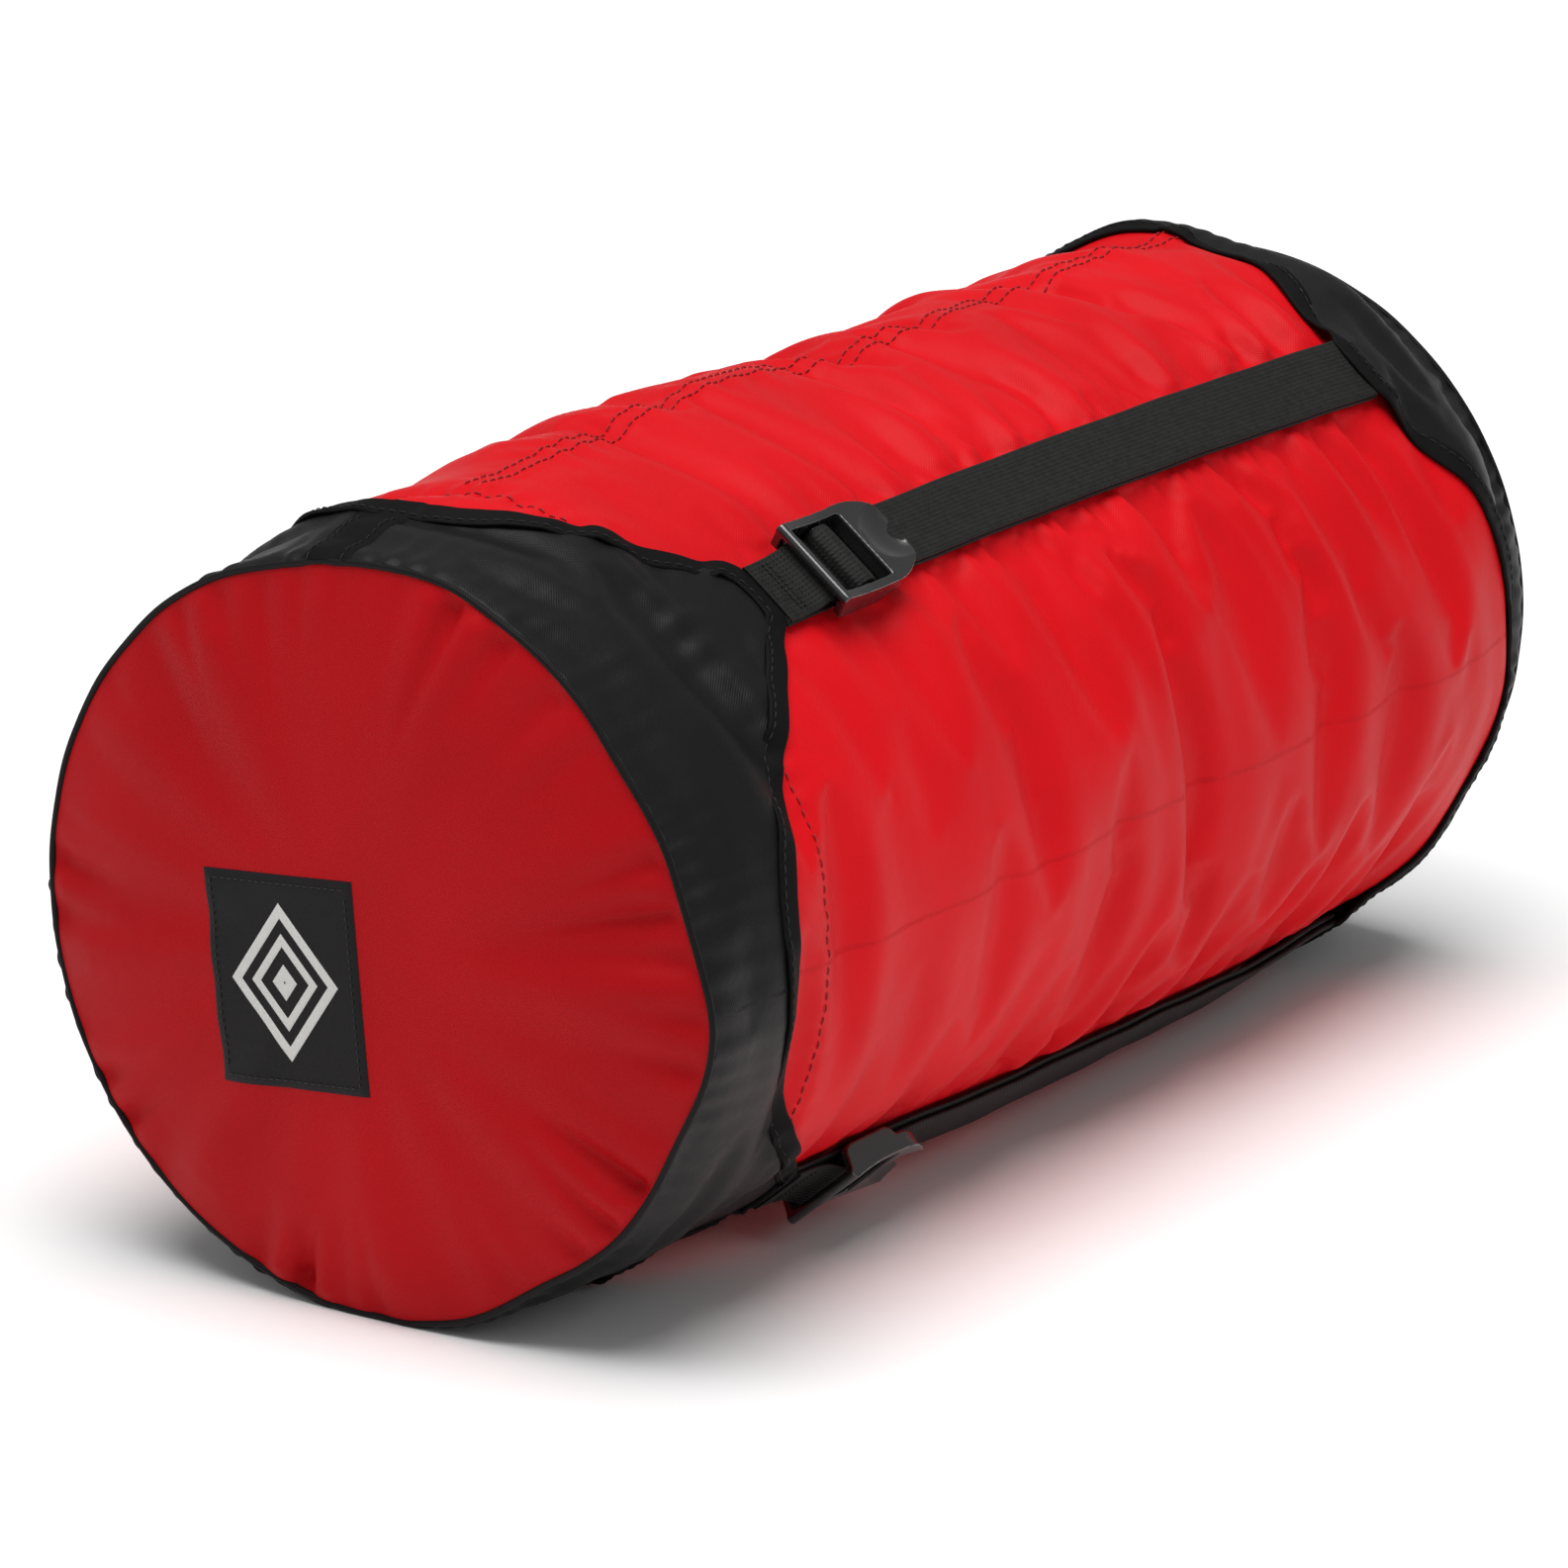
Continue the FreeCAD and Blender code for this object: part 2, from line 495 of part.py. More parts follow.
def main():
    os.makedirs("parts", exist_ok=True)
    save("body_tube", body_tube())
    save("bottom_panel", to_bottom(end_panel()))
    save("bottom_piping", to_bottom(piping()))
    save("bottom_skirt", to_bottom(scalloped(SKIRT_IN, SKIRT_OUT, BOTTOM_CORNERS, BOTTOM_MID_DEPTH)))
    save("bottom_edge_binding", to_bottom(edge_binding(BOTTOM_CORNERS, BOTTOM_MID_DEPTH)))
    save("haul_handle", handle_arch())
    save("haul_handle_feet", handle_feet())

    save("mouth_collar", collar())
    save("drawcord", drawcord())
    save("cord_lock_barrel", cord_lock_barrel())
    save("cord_lock_plunger", cord_lock_plunger())
    save("cord_lock_spring", cord_lock_spring())

    save("lid_panel", end_panel())
    save("lid_piping", piping())
    save("lid_skirt", scalloped(SKIRT_IN, SKIRT_OUT, LID_CORNERS, LID_MID_DEPTH))
    save("lid_edge_binding", edge_binding(LID_CORNERS, LID_MID_DEPTH))
    save("label_patch", label_patch())

    for place, angle in STRAP_ANGLES.items():
        advance = LID_CORNER_DEPTH - LID_CORNERS[place]
        front_pieces = {"strap_bight": strap_bight(), "lock_web": lock_web(), "ladder_lock": ladder_lock()}
        for name, shape in front_pieces.items():
            shape.translate(V(0, -advance, 0))
            save(name + "_" + place, at_strap(shape, angle))
        save("load_strap_" + place, at_strap(load_strap(advance), angle))
        save("strap_tail_" + place, at_strap(strap_tail(advance), angle))


main()
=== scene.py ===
"""The looks of a compression sack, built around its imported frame.

Places on the sack are given as (s, phi): s is the distance from the lid's seam along the sack, and phi is
the angle about its axis, from +X towards +Z. Lengths are in metres. The stuffed fabric comes first, as one
grid of points over the whole sack, and the skirts, seams and stitches are then laid on it.
"""

from math import asin, cos, pi, radians, sin, sqrt

import bpy
import numpy as np
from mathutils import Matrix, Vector


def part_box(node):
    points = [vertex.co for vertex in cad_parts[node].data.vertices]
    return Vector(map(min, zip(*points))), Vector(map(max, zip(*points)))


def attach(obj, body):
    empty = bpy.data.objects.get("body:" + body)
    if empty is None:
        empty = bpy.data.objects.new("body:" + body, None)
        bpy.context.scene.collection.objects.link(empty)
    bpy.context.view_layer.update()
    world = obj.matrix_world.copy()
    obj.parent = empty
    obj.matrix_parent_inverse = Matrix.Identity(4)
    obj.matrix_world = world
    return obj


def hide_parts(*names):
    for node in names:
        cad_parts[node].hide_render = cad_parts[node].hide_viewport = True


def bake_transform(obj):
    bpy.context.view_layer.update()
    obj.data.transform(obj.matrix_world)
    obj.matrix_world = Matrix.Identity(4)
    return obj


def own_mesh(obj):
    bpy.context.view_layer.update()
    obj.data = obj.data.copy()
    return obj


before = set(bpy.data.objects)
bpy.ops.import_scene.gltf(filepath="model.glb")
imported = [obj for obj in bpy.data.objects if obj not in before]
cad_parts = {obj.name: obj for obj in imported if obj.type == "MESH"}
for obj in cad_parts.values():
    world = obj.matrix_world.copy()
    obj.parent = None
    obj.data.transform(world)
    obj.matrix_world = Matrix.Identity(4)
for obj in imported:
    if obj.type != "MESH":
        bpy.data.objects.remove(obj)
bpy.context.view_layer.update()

MM = 0.001
TURN = 2 * pi


def middle_y(node):
    low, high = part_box(node)
    return (low.y + high.y) / 2


# ---- sizes, from the frame ----
TUBE_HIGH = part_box("body_tube")[1]
BODY_R = TUBE_HIGH.x
AXIS_Z = TUBE_HIGH.z - BODY_R
LID_Y = middle_y("lid_piping")
LENGTH = middle_y("bottom_piping") - LID_Y
LID_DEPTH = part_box("lid_skirt")[1].y - LID_Y
BOTTOM_DEPTH = LID_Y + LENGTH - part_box("bottom_skirt")[0].y
LID_BULGE = LID_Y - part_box("lid_panel")[0].y
BOTTOM_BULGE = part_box("bottom_panel")[1].y - LID_Y - LENGTH
STRAP_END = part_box("load_strap_upper_right")[1].y - LID_Y

# ---- sizes of the fabric and its seams ----
SKIN_R = BODY_R + 1.5 * MM      # about where the fabric lies, for lengths along the sack's round
STRAPS = {"upper_right": radians(52), "upper_left": radians(142),
          "lower_left": radians(232), "lower_right": radians(310)}
STRAP_DRIFT = {"upper_right": (1.3, -4.0), "upper_left": (0.4, 1.2),
               "lower_left": (-0.6, 1.0), "lower_right": (-1.0, -7.0)}
HINGE_IN_LOCK = 5.5 * MM        # from a ladder lock's front to its hinge bar
LOCK_AT = {place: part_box("ladder_lock_" + place)[0].y + HINGE_IN_LOCK - LID_Y for place in STRAPS}
CORNER_BEFORE_LOCK = LOCK_AT["upper_right"] - LID_DEPTH
LID_CORNERS = {place: lock_s - CORNER_BEFORE_LOCK for place, lock_s in LOCK_AT.items()}
BOTTOM_CORNERS = dict.fromkeys(STRAPS, BOTTOM_DEPTH)
CORNER_HALF_ANGLE = radians(5.5)
# How deep a skirt is half way between two straps, for the bay that follows each strap.
LID_MIDDLES = dict.fromkeys(STRAPS, 35 * MM)
BOTTOM_MIDDLES = {"upper_right": 29 * MM, "upper_left": 24 * MM,
                  "lower_left": 24 * MM, "lower_right": 18 * MM}
SKIRT_LIFT = 0.75 * MM
SKIRT_JOIN_ANGLE = radians(96.5)
SKIRT_JOIN_WIDTH = 16 * MM
PIPING_R = 0.95 * MM
PIPING_OUT = 0.35 * MM          # how far the piping's middle lies outside the seam
PIPING_TUCK = 0.8 * MM          # how much less that is at the lid's lower left, under the panel's bulge
TUCK_ANGLE, TUCK_HALF_WIDTH = radians(225), radians(62)
BINDING_WIDTH, BINDING_R = 6 * MM, 0.7 * MM
LABEL_WIDTH, LABEL_HEIGHT = 47 * MM, 57 * MM
LABEL_TILT = radians(5)
LABEL_LIFT = 0.75 * MM
LID_SEED, BOTTOM_SEED = 70, 90  # of the puckers in the two end panels
PUCKER_HEIGHT, DENT_DEPTH = 2.0 * MM, 0.9 * MM
FELLED_SEAM_ANGLE = radians(95)
MOUTH_STITCH_S = 54 * MM
WEB = 20 * MM
WEB_THICK = 1.6 * MM
HEM_RING_R, HEM_TUBE_R = 23 * MM, 3.3 * MM

# The stuffing swells the sack between its straps: how far, for the bay that follows each strap.
BAY_SWELL = {"upper_right": 5.0 * MM, "upper_left": 4.0 * MM,
             "lower_left": 3.0 * MM, "lower_right": 4.0 * MM}
SWELL_EASES = 290 * MM          # where the swelling starts to go down towards the bottom
# Along the top it goes down sooner.
TOP_BAY_ANGLE, TOP_BAY_HALF_WIDTH = radians(105), radians(38)
TOP_BAY_SETTLES = 150 * MM
# Where the sack lies, its weight pushes its lower right side out, and the strap there lies on that.
SAG = 4.5 * MM
SAG_ANGLE, SAG_HALF_WIDTH = radians(-62), radians(20)
SAG_START, SAG_END = 155 * MM, 350 * MM
FOLD_IN, FOLD_OUT = 5 * MM, 4 * MM      # the most that a fold goes in or out
SHOULDER = 14 * MM              # how soon past the lid's seam the sack has swelled
BACK_ROUNDING = 50 * MM
BACK_NARROWING = 0.085
# The lid's rim isn't quite round: (angle, how far out, half width of the stretch), in degrees and mm.
RIM_LOBES = ((75, 1.5, 9), (38, -1.8, 9), (356, 5.5, 12), (303, -3.2, 12), (108, -2.4, 15))


# ---- smooth noise, the sum of seeded waves, so that it is the same in every run ----
LINE_WAVES, SKIN_WAVES = 14, 24


def ring_noise(angle, low, high, seed):
    """Noise of an angle, with from low to high whole waves in a turn, and a standard deviation of 1."""
    rng = np.random.default_rng(seed)
    total = np.zeros_like(angle, dtype=float)
    for _ in range(LINE_WAVES):
        total += np.cos(rng.integers(low, high + 1) * angle + rng.uniform(0, TURN))
    return total / sqrt(LINE_WAVES / 2)


def line_noise(x, short, long, seed):
    """Noise of a length, with wavelengths from short to long."""
    rng = np.random.default_rng(seed)
    total = np.zeros_like(x, dtype=float)
    for _ in range(LINE_WAVES):
        total += np.cos(TURN * x / rng.uniform(short, long) + rng.uniform(0, TURN))
    return total / sqrt(LINE_WAVES / 2)


def skin_noise(s, phi, short, long, slant, seed):
    """Folds that run round the sack: short to long apart along it, and at most slant turns per wave."""
    rng = np.random.default_rng(seed)
    total = np.zeros_like(s, dtype=float)
    for _ in range(SKIN_WAVES):
        around = rng.integers(-slant, slant + 1)
        total += np.cos(TURN * s / rng.uniform(short, long) + around * phi + rng.uniform(0, TURN))
    return total / sqrt(SKIN_WAVES / 2)


def bump_between(x, start, end, soft):
    """1 between start and end, and 0 outside, with soft edges."""
    rise = np.clip((x - start) / soft + 0.5, 0, 1)
    fall = np.clip((end - x) / soft + 0.5, 0, 1)
    both = np.minimum(rise, fall)
    return both * both * (3 - 2 * both)


def even_turns(count):
    """Angles at even steps round the sack, without the last, which is the first again."""
    return np.arange(count) * TURN / count


def straight_out(phi):
    """Which way is out from the sack's axis, at each angle."""
    return np.stack([np.cos(phi), 0 * phi, np.sin(phi)], 1)


def run_along(path):
    """How far each point of a path is from its start, along it."""
    return np.concatenate([[0], np.cumsum(np.linalg.norm(np.diff(path, axis=0), axis=1))])


def turn_between(a, b):
    """The angle from b to a, between minus and plus half a turn."""
    return (a - b + pi) % TURN - pi


def strap_middle(place, s):
    """The straps lie a little askew: their angle drifts along the sack."""
    start, change = STRAP_DRIFT[place]
    share = np.clip((s - LOCK_AT[place]) / (STRAP_END - LOCK_AT[place]), 0, 1)
    return STRAPS[place] + np.radians(start + change * share ** 2)


# ---- the stuffed skin ----
def off_straps(s, phi):
    """How far a place is, round the sack, from the nearest strap's edge: 0 under a strap."""
    nearest = np.full(np.broadcast(s, phi).shape, pi)
    for place in STRAPS:
        nearest = np.minimum(nearest, np.abs(turn_between(phi, strap_middle(place, s))))
    return np.maximum(nearest * SKIN_R - WEB / 2, 0)


def bays(s):
    """The stretches between neighbouring straps: (place before, place after, their angles at s)."""
    places = list(STRAPS)
    for place, following in zip(places, places[1:] + places[:1]):
        first, last = strap_middle(place, s), strap_middle(following, s)
        yield place, following, first, first + (last - first) % TURN


def swell(s, phi):
    """How far the stuffing pushes the fabric out, between the straps."""
    amount = np.zeros(np.broadcast(s, phi).shape)
    for place, _, first, last in bays(s):
        inside = (phi - first) % TURN < (last - first)
        amount = np.where(inside, BAY_SWELL[place], amount)
    top_bay = np.exp(-(turn_between(phi, TOP_BAY_ANGLE) / TOP_BAY_HALF_WIDTH) ** 4)
    settled = np.clip((s - TOP_BAY_SETTLES) / (90 * MM), 0, 1)
    amount = amount * (1 - 0.9 * top_bay * settled ** 2 * (3 - 2 * settled))
    clear = off_straps(s, phi)
    rise = 1 - np.exp(-(clear / (13 * MM)) ** 2)
    shoulder = 1 - np.exp(-s / SHOULDER)
    back = np.clip((s - SWELL_EASES) / (LENGTH - SWELL_EASES), 0, 1)
    return amount * rise * shoulder * (1 - back ** 2)


def sag(s, phi):
    around = np.exp(-(turn_between(phi, SAG_ANGLE) / SAG_HALF_WIDTH) ** 2)
    return SAG * around * bump_between(s, SAG_START, SAG_END, 90 * MM)


def resting_radius(s, phi):
    rim = np.zeros(np.broadcast(s, phi).shape)
    for angle, out, half_width in RIM_LOBES:
        rim = rim + out * MM * np.exp(-(turn_between(phi, radians(angle)) / radians(half_width)) ** 2)
    radius = BODY_R - 0.2 * MM + rim * np.exp(-(s / (45 * MM)) ** 2) + swell(s, phi) + sag(s, phi)
    back = np.clip((s - LENGTH) / BACK_ROUNDING + 1, 0, 1)
    puffs = 1 + 0.018 * np.sin(pi * back) ** 2 * ring_noise(phi, 5, 11, 3)
    return radius * (1 - BACK_NARROWING * back ** 2) * puffs


def strap_press(s, phi, soft):
    """1 under a strap and 0 clear of all of them."""
    press = np.clip((soft - off_straps(s, phi)) / soft, 0, 1)
    return press * bump_between(s, 60 * MM, STRAP_END + 10 * MM, 12 * MM)


def cylinder_points(radius, s, phi):
    return np.stack([radius * np.cos(phi), LID_Y + s, AXIS_Z + radius * np.sin(phi)], -1)


def quads(rows, columns, closed):
    index = np.arange(rows * columns).reshape(rows, columns)
    across = np.roll(index, -1, 1) if closed else index[:, 1:]
    first = index if closed else index[:, :-1]
    corners = [first[:-1], first[1:], across[1:], across[:-1]]
    return np.stack(corners, -1).reshape(-1, 4)


def new_mesh(name, points, faces):
    """A mesh from an array of points and a list of faces."""
    mesh = bpy.data.meshes.new(name)
    mesh.from_pydata(points.reshape(-1, 3).tolist(), [], faces)
    mesh.update()
    return mesh


HAULED_BY, SETTLED_BY = 20, 34      # frames of the simulation


def pressed_by_simulation(cut, pressed, pinned):
    """Cloth simulation: the tube as it was cut is stuffed and its straps are hauled in, which folds it."""
    rows, columns = pinned.shape
    mesh = new_mesh("stuffing_trial", cut, quads(rows, columns, True).tolist())
    trial = bpy.data.objects.new("stuffing_trial", mesh)
    bpy.context.scene.collection.objects.link(trial)
    trial.shape_key_add(name="cut")
    hauled = trial.shape_key_add(name="hauled")
    hauled.data.foreach_set("co", pressed.reshape(-1))
    group = trial.vertex_groups.new(name="held")
    steps = np.round(pinned.reshape(-1), 1)
    for weight in np.unique(steps[steps > 0]):
        group.add(np.nonzero(steps == weight)[0].tolist(), float(weight), "REPLACE")
    add_cloth(trial)
    scene = bpy.context.scene
    for frame_number, value in ((1, 0), (HAULED_BY, 1)):
        hauled.value = value
        hauled.keyframe_insert("value", frame=frame_number)
    for step in range(1, SETTLED_BY + 1):
        scene.frame_set(step)
    settled = trial.evaluated_get(bpy.context.evaluated_depsgraph_get())
    result = np.empty(rows * columns * 3)
    settled.data.vertices.foreach_get("co", result)
    scene.frame_set(1)
    action = mesh.shape_keys.animation_data.action
    bpy.data.objects.remove(trial)
    bpy.data.meshes.remove(mesh)
    bpy.data.actions.remove(action)
    return result.reshape(rows, columns, 3)


def add_cloth(trial):
    """Springy fabric, blown up by the pressure of what is stuffed in, and held where it is pinned."""
    modifier = trial.modifiers.new("Cloth", "CLOTH")
    cloth = modifier.settings
    cloth.quality = 3
    cloth.mass = 0.01
    cloth.tension_stiffness = cloth.compression_stiffness = 15
    cloth.shear_stiffness = 5
    cloth.bending_stiffness = 7
    cloth.tension_damping = cloth.compression_damping = 1
    cloth.use_pressure = True
    cloth.uniform_pressure_force = 8
    cloth.vertex_group_mass = "held"
    cloth.effector_weights.gravity = 0
    modifier.collision_settings.use_collision = False
    modifier.point_cache.frame_start = 1
    modifier.point_cache.frame_end = SETTLED_BY


def finer(grid):
    """Twice as many rows and columns, through Catmull-Rom curves. Columns go round, rows don't."""
    around = (9 * (grid + np.roll(grid, -1, 1)) - np.roll(grid, 1, 1) - np.roll(grid, -2, 1)) / 16
    wide = np.stack([grid, around], 2).reshape(grid.shape[0], -1, 3)
    ends = np.concatenate([2 * wide[:1] - wide[1:2], wide, 2 * wide[-1:] - wide[-2:-1]])
    between = (9 * (ends[1:-2] + ends[2:-1]) - ends[:-3] - ends[3:]) / 16
    tall = np.empty((2 * len(wide) - 1, *wide.shape[1:]))
    tall[::2], tall[1::2] = wide, between
    return tall


def seam_relief(s, phi):
    """Puckers that sewing leaves beside the felled seam and the mouth's stitches."""
    off_seam = turn_between(phi, felled_seam(s)) * SKIN_R
    beside = np.abs(off_seam)
    near_seam = np.exp(-(off_seam / (11 * MM)) ** 2) * (0.35 + 0.65 * np.clip(beside / (6 * MM), 0, 1))
    puckers = near_seam * line_noise(s + 0.25 * beside, 8 * MM, 16 * MM, 11)
    swags = np.exp(-((off_seam - 30 * MM) / (26 * MM)) ** 2) * line_noise(s, 30 * MM, 52 * MM, 12)
    ridge = 0.45 * MM * bump_between(off_seam, -4.5 * MM, 4.5 * MM, 1.5 * MM)
    off_stitch = s - MOUTH_STITCH_S
    near_stitch = np.exp(-(off_stitch / (6 * MM)) ** 2)
    gathers = near_stitch * ring_noise(phi, 45, 80, 13)
    groove = -0.35 * MM * np.exp(-(off_stitch / (1.2 * MM)) ** 2)
    return 0.32 * MM * puckers + 0.8 * MM * swags + ridge + 0.28 * MM * gathers + groove


def strap_gathers(s, phi):
    """Narrow folds that leave a hauled strap's edges and fade round the sack."""
    clear = off_straps(s, phi)
    folds = line_noise(s - 0.3 * clear, 9 * MM, 27 * MM, 15)
    reach = np.clip(clear / (5 * MM), 0, 1) * np.exp(-(clear / (45 * MM)) ** 2)
    return 0.6 * MM * folds * reach * bump_between(s, 170 * MM, 385 * MM, 90 * MM)


def felled_seam(s):
    """The felled seam wanders a little as it runs along the top."""
    return FELLED_SEAM_ANGLE + line_noise(s, 120 * MM, 260 * MM, 5) * radians(1.5)


def spare_length(s):
    """How much more fabric than sack there is, as a share: the hauled straps gather most near the bottom."""
    return 0.010 + 0.028 * bump_between(s, 150 * MM, 385 * MM, 110 * MM)


def folds_by_simulation(s, phi, free, press):
    """Starts from a tube that is longer than the sack and a little uneven, held at its ends and straps."""
    step = np.diff(s, axis=0) * (1 + (spare_length(s[1:]) + spare_length(s[:-1])) / 2)
    cut_s = np.concatenate([np.zeros_like(s[:1]), np.cumsum(step, 0)])
    unevenness = 0.6 * MM * skin_noise(s, phi, short=17 * MM, long=52 * MM, slant=5, seed=4)
    cut = cylinder_points(free + unevenness * (1 - press), cut_s, phi)
    pinned = press.copy()
    pinned[0] = pinned[-1] = 1
    return pressed_by_simulation(cut, cylinder_points(free, s, phi), pinned)


def stuffed_skin():
    """The grid of points over the whole sack, seam to seam, with its folds."""
    rows, columns = ((150, 224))
    s = np.linspace(0, LENGTH, rows)[:, None] * np.ones((1, columns))
    phi = np.ones((rows, 1)) * even_turns(columns)[None, :]
    free = resting_radius(s, phi)
    press = strap_press(s, phi, 3 * MM)
    points = folds_by_simulation(s, phi, free, press)
    points = finer(points)
    out_x, out_z = points[..., 0], points[..., 2] - AXIS_Z
    radius = np.hypot(out_x, out_z)
    s_now, phi_now = points[..., 1] - LID_Y, np.arctan2(out_z, out_x)
    wanted = radius + seam_relief(s_now, phi_now) + strap_gathers(s_now, phi_now)
    base = resting_radius(s_now, phi_now)
    points = cylinder_points(np.clip(wanted, base - FOLD_IN, base + FOLD_OUT), s_now, phi_now)
    points[..., 2] = np.maximum(points[..., 2], 0.3 * MM)
    return points


class Skin:
    """The stuffed surface: at() gives points on it, or at a distance from it."""

    def __init__(self, points):
        self.points = points
        along = np.gradient(points, axis=0)
        around = (np.roll(points, -1, 1) - np.roll(points, 1, 1)) / 2
        normal = np.cross(around, along)
        normal /= np.linalg.norm(normal, axis=-1, keepdims=True)
        self.normal = -normal

    def _mix(self, table, s, phi):
        rows, columns = table.shape[:2]
        row = np.clip(s / LENGTH, 0, 1) * (rows - 1)
        column = (phi % TURN) / TURN * columns
        r0 = np.minimum(row.astype(int), rows - 2)
        c0 = column.astype(int) % columns
        fr, fc = (row - r0)[..., None], (column - np.floor(column))[..., None]
        c1 = (c0 + 1) % columns
        top = table[r0, c0] * (1 - fc) + table[r0, c1] * fc
        low = table[r0 + 1, c0] * (1 - fc) + table[r0 + 1, c1] * fc
        return top * (1 - fr) + low * fr

    def out(self, s, phi):
        normal = self._mix(self.normal, s, phi)
        return normal / np.linalg.norm(normal, axis=-1, keepdims=True)

    def at(self, s, phi, lift=0.0):
        s, phi = np.broadcast_arrays(np.asarray(s, float), np.asarray(phi, float))
        lift = np.asarray(lift) * np.ones_like(s)
        return self._mix(self.points, s, phi) + self.out(s, phi) * lift[..., None]


# ---- making pieces ----
def paint(obj, material):
    obj.data.materials.clear()
    obj.data.materials.append(material)
    obj.data.polygons.foreach_set("use_smooth", [True] * len(obj.data.polygons))


def finish_piece(obj, material, body):
    """Shows the piece, on its body. A piece without one rides on none."""
    paint(obj, material)
    bpy.context.scene.collection.objects.link(obj)
    if body:
        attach(obj, body)
    return obj


def lay_weave(mesh, uv):
    """uv, in metres and by vertex, is what the mesh's weave is laid out by."""
    layer = mesh.uv_layers.new(name="weave")
    corner = np.empty(len(mesh.loops), int)
    mesh.loops.foreach_get("vertex_index", corner)
    layer.data.foreach_set("uv", uv.reshape(-1, 2)[corner].reshape(-1))


def uv_grid(u, v):
    """The weave's two lengths for a grid of points: one by row and the other by column."""
    return np.stack(np.broadcast_arrays(u, v), -1)


def grid_piece(name, points, material, body, uv, closed=False, thickness=0.0, flip=False):
    """A piece from a grid of points, which is closed when its last column meets its first."""
    faces = quads(*points.shape[:2], closed)
    if flip:
        faces = faces[:, ::-1]
    mesh = new_mesh(name, points, faces.tolist())
    lay_weave(mesh, uv)
    obj = bpy.data.objects.new(name, mesh)
    finish_piece(obj, material, body)
    if thickness:
        solid = obj.modifiers.new("Thickness", "SOLIDIFY")
        solid.thickness = thickness
        solid.offset = -1
        applied(obj)
    return obj


def applied(obj):
    """Makes the piece's modifiers part of its mesh."""
    graph = bpy.context.evaluated_depsgraph_get()
    mesh = bpy.data.meshes.new_from_object(obj.evaluated_get(graph), depsgraph=graph)
    obj.modifiers.clear()
    obj.data = mesh


def swept(path, out, profile, closed_path=False):
    """Carries a closed profile of (across, outward) points along a path, as a grid of points."""
    if closed_path:
        along = np.roll(path, -1, 0) - np.roll(path, 1, 0)
    else:
        along = np.gradient(path, axis=0)
    along /= np.linalg.norm(along, axis=1, keepdims=True)
    across = np.cross(along, out)
    across /= np.linalg.norm(across, axis=1, keepdims=True)
    up = np.cross(across, along)
    return (path[:, None] + across[:, None] * profile[None, :, :1] + up[:, None] * profile[None, :, 1:])


def web_profile(width, thick, steps=5):
    """A strap's section: flat, with soft round selvedges and a slight crown."""
    half, r = width / 2, thick / 2
    points = []
    for i in range(steps + 1):
        angle = -pi / 2 + pi * i / steps
        points.append((half - r + r * cos(angle), 0.82 * r * sin(angle)))
    for x in np.linspace(half - 2.2 * r, 2.2 * r - half, 9):
        points.append((x, r * (0.88 + 0.12 * cos(pi * x / width))))
    for i in range(steps + 1):
        angle = pi / 2 + pi * i / steps
        points.append((r - half + r * cos(angle), 0.82 * r * sin(angle)))
    for x in np.linspace(2.2 * r - half, half - 2.2 * r, 5):
        points.append((x, -r))
    return np.array(points)


def web_piece(name, path, out, body, width=WEB, thick=WEB_THICK):
    """A length of webbing along a path, with closed ends."""
    profile = web_profile(width, thick)
    points = swept(path, out, profile)
    rows, columns = points.shape[:2]
    faces = quads(rows, columns, True)[:, ::-1].tolist()
    faces.append(list(range(columns)))
    faces.append(list(range(rows * columns - 1, (rows - 1) * columns - 1, -1)))
    mesh = new_mesh(name, points, faces)
    lay_weave(mesh, uv_grid(run_along(path)[:, None], profile[None, :, 0]))
    return finish_piece(bpy.data.objects.new(name, mesh), WEBBING, body)


def joined(parts):
    """Several (points, faces) as one."""
    points, faces, count = [], [], 0
    for some_points, some_faces in parts:
        points.append(some_points)
        faces += [tuple(count + i for i in face) for face in some_faces]
        count += len(some_points)
    return np.concatenate(points), faces


# A stitch's sections: how far along its half length, how thick, and how far out, as shares.
STITCH_RINGS = ((-1, 0.15, -0.5), (-0.72, 0.85, 0.15), (0, 1, 0.5), (0.72, 0.85, 0.15), (1, 0.15, -0.5))
STITCH_SIDES = 6


def stitch_shape(centre, along, out, length, width):
    """One stitch: a short plump thread that dips into the cloth at both ends."""
    across = np.cross(along, out)
    rings = []
    for t, size, rise in STITCH_RINGS:
        middle = centre + along * (t * length / 2) + out * (rise * width)
        for k in range(STITCH_SIDES):
            angle = TURN * k / STITCH_SIDES
            rings.append(middle + (across * cos(angle) + out * sin(angle)) * (size * width / 2))
    faces = []
    for ring in range(len(STITCH_RINGS) - 1):
        for k in range(STITCH_SIDES):
            a, b = ring * STITCH_SIDES + k, ring * STITCH_SIDES + (k + 1) % STITCH_SIDES
            faces.append((a, a + STITCH_SIDES, b + STITCH_SIDES, b))
    return np.array(rings), faces


def stitch_row(path, out, pitch=3.2 * MM, length=2.4 * MM, width=0.55 * MM):
    """Stitches at an even pitch along a path."""
    run = run_along(path)
    where = np.arange(pitch / 2, run[-1] - pitch / 2, pitch)
    centre = np.stack([np.interp(where, run, path[:, k]) for k in range(3)], 1)
    ahead = np.stack([np.interp(where + 0.4 * MM, run, path[:, k]) for k in range(3)], 1)
    up = np.stack([np.interp(where, run, out[:, k]) for k in range(3)], 1)
    parts = []
    for c, a, n in zip(centre, ahead, up):
        along = (a - c) / np.linalg.norm(a - c)
        n = n - along * np.dot(n, along)
        parts.append(stitch_shape(c, along, n / np.linalg.norm(n), length, width))
    return parts


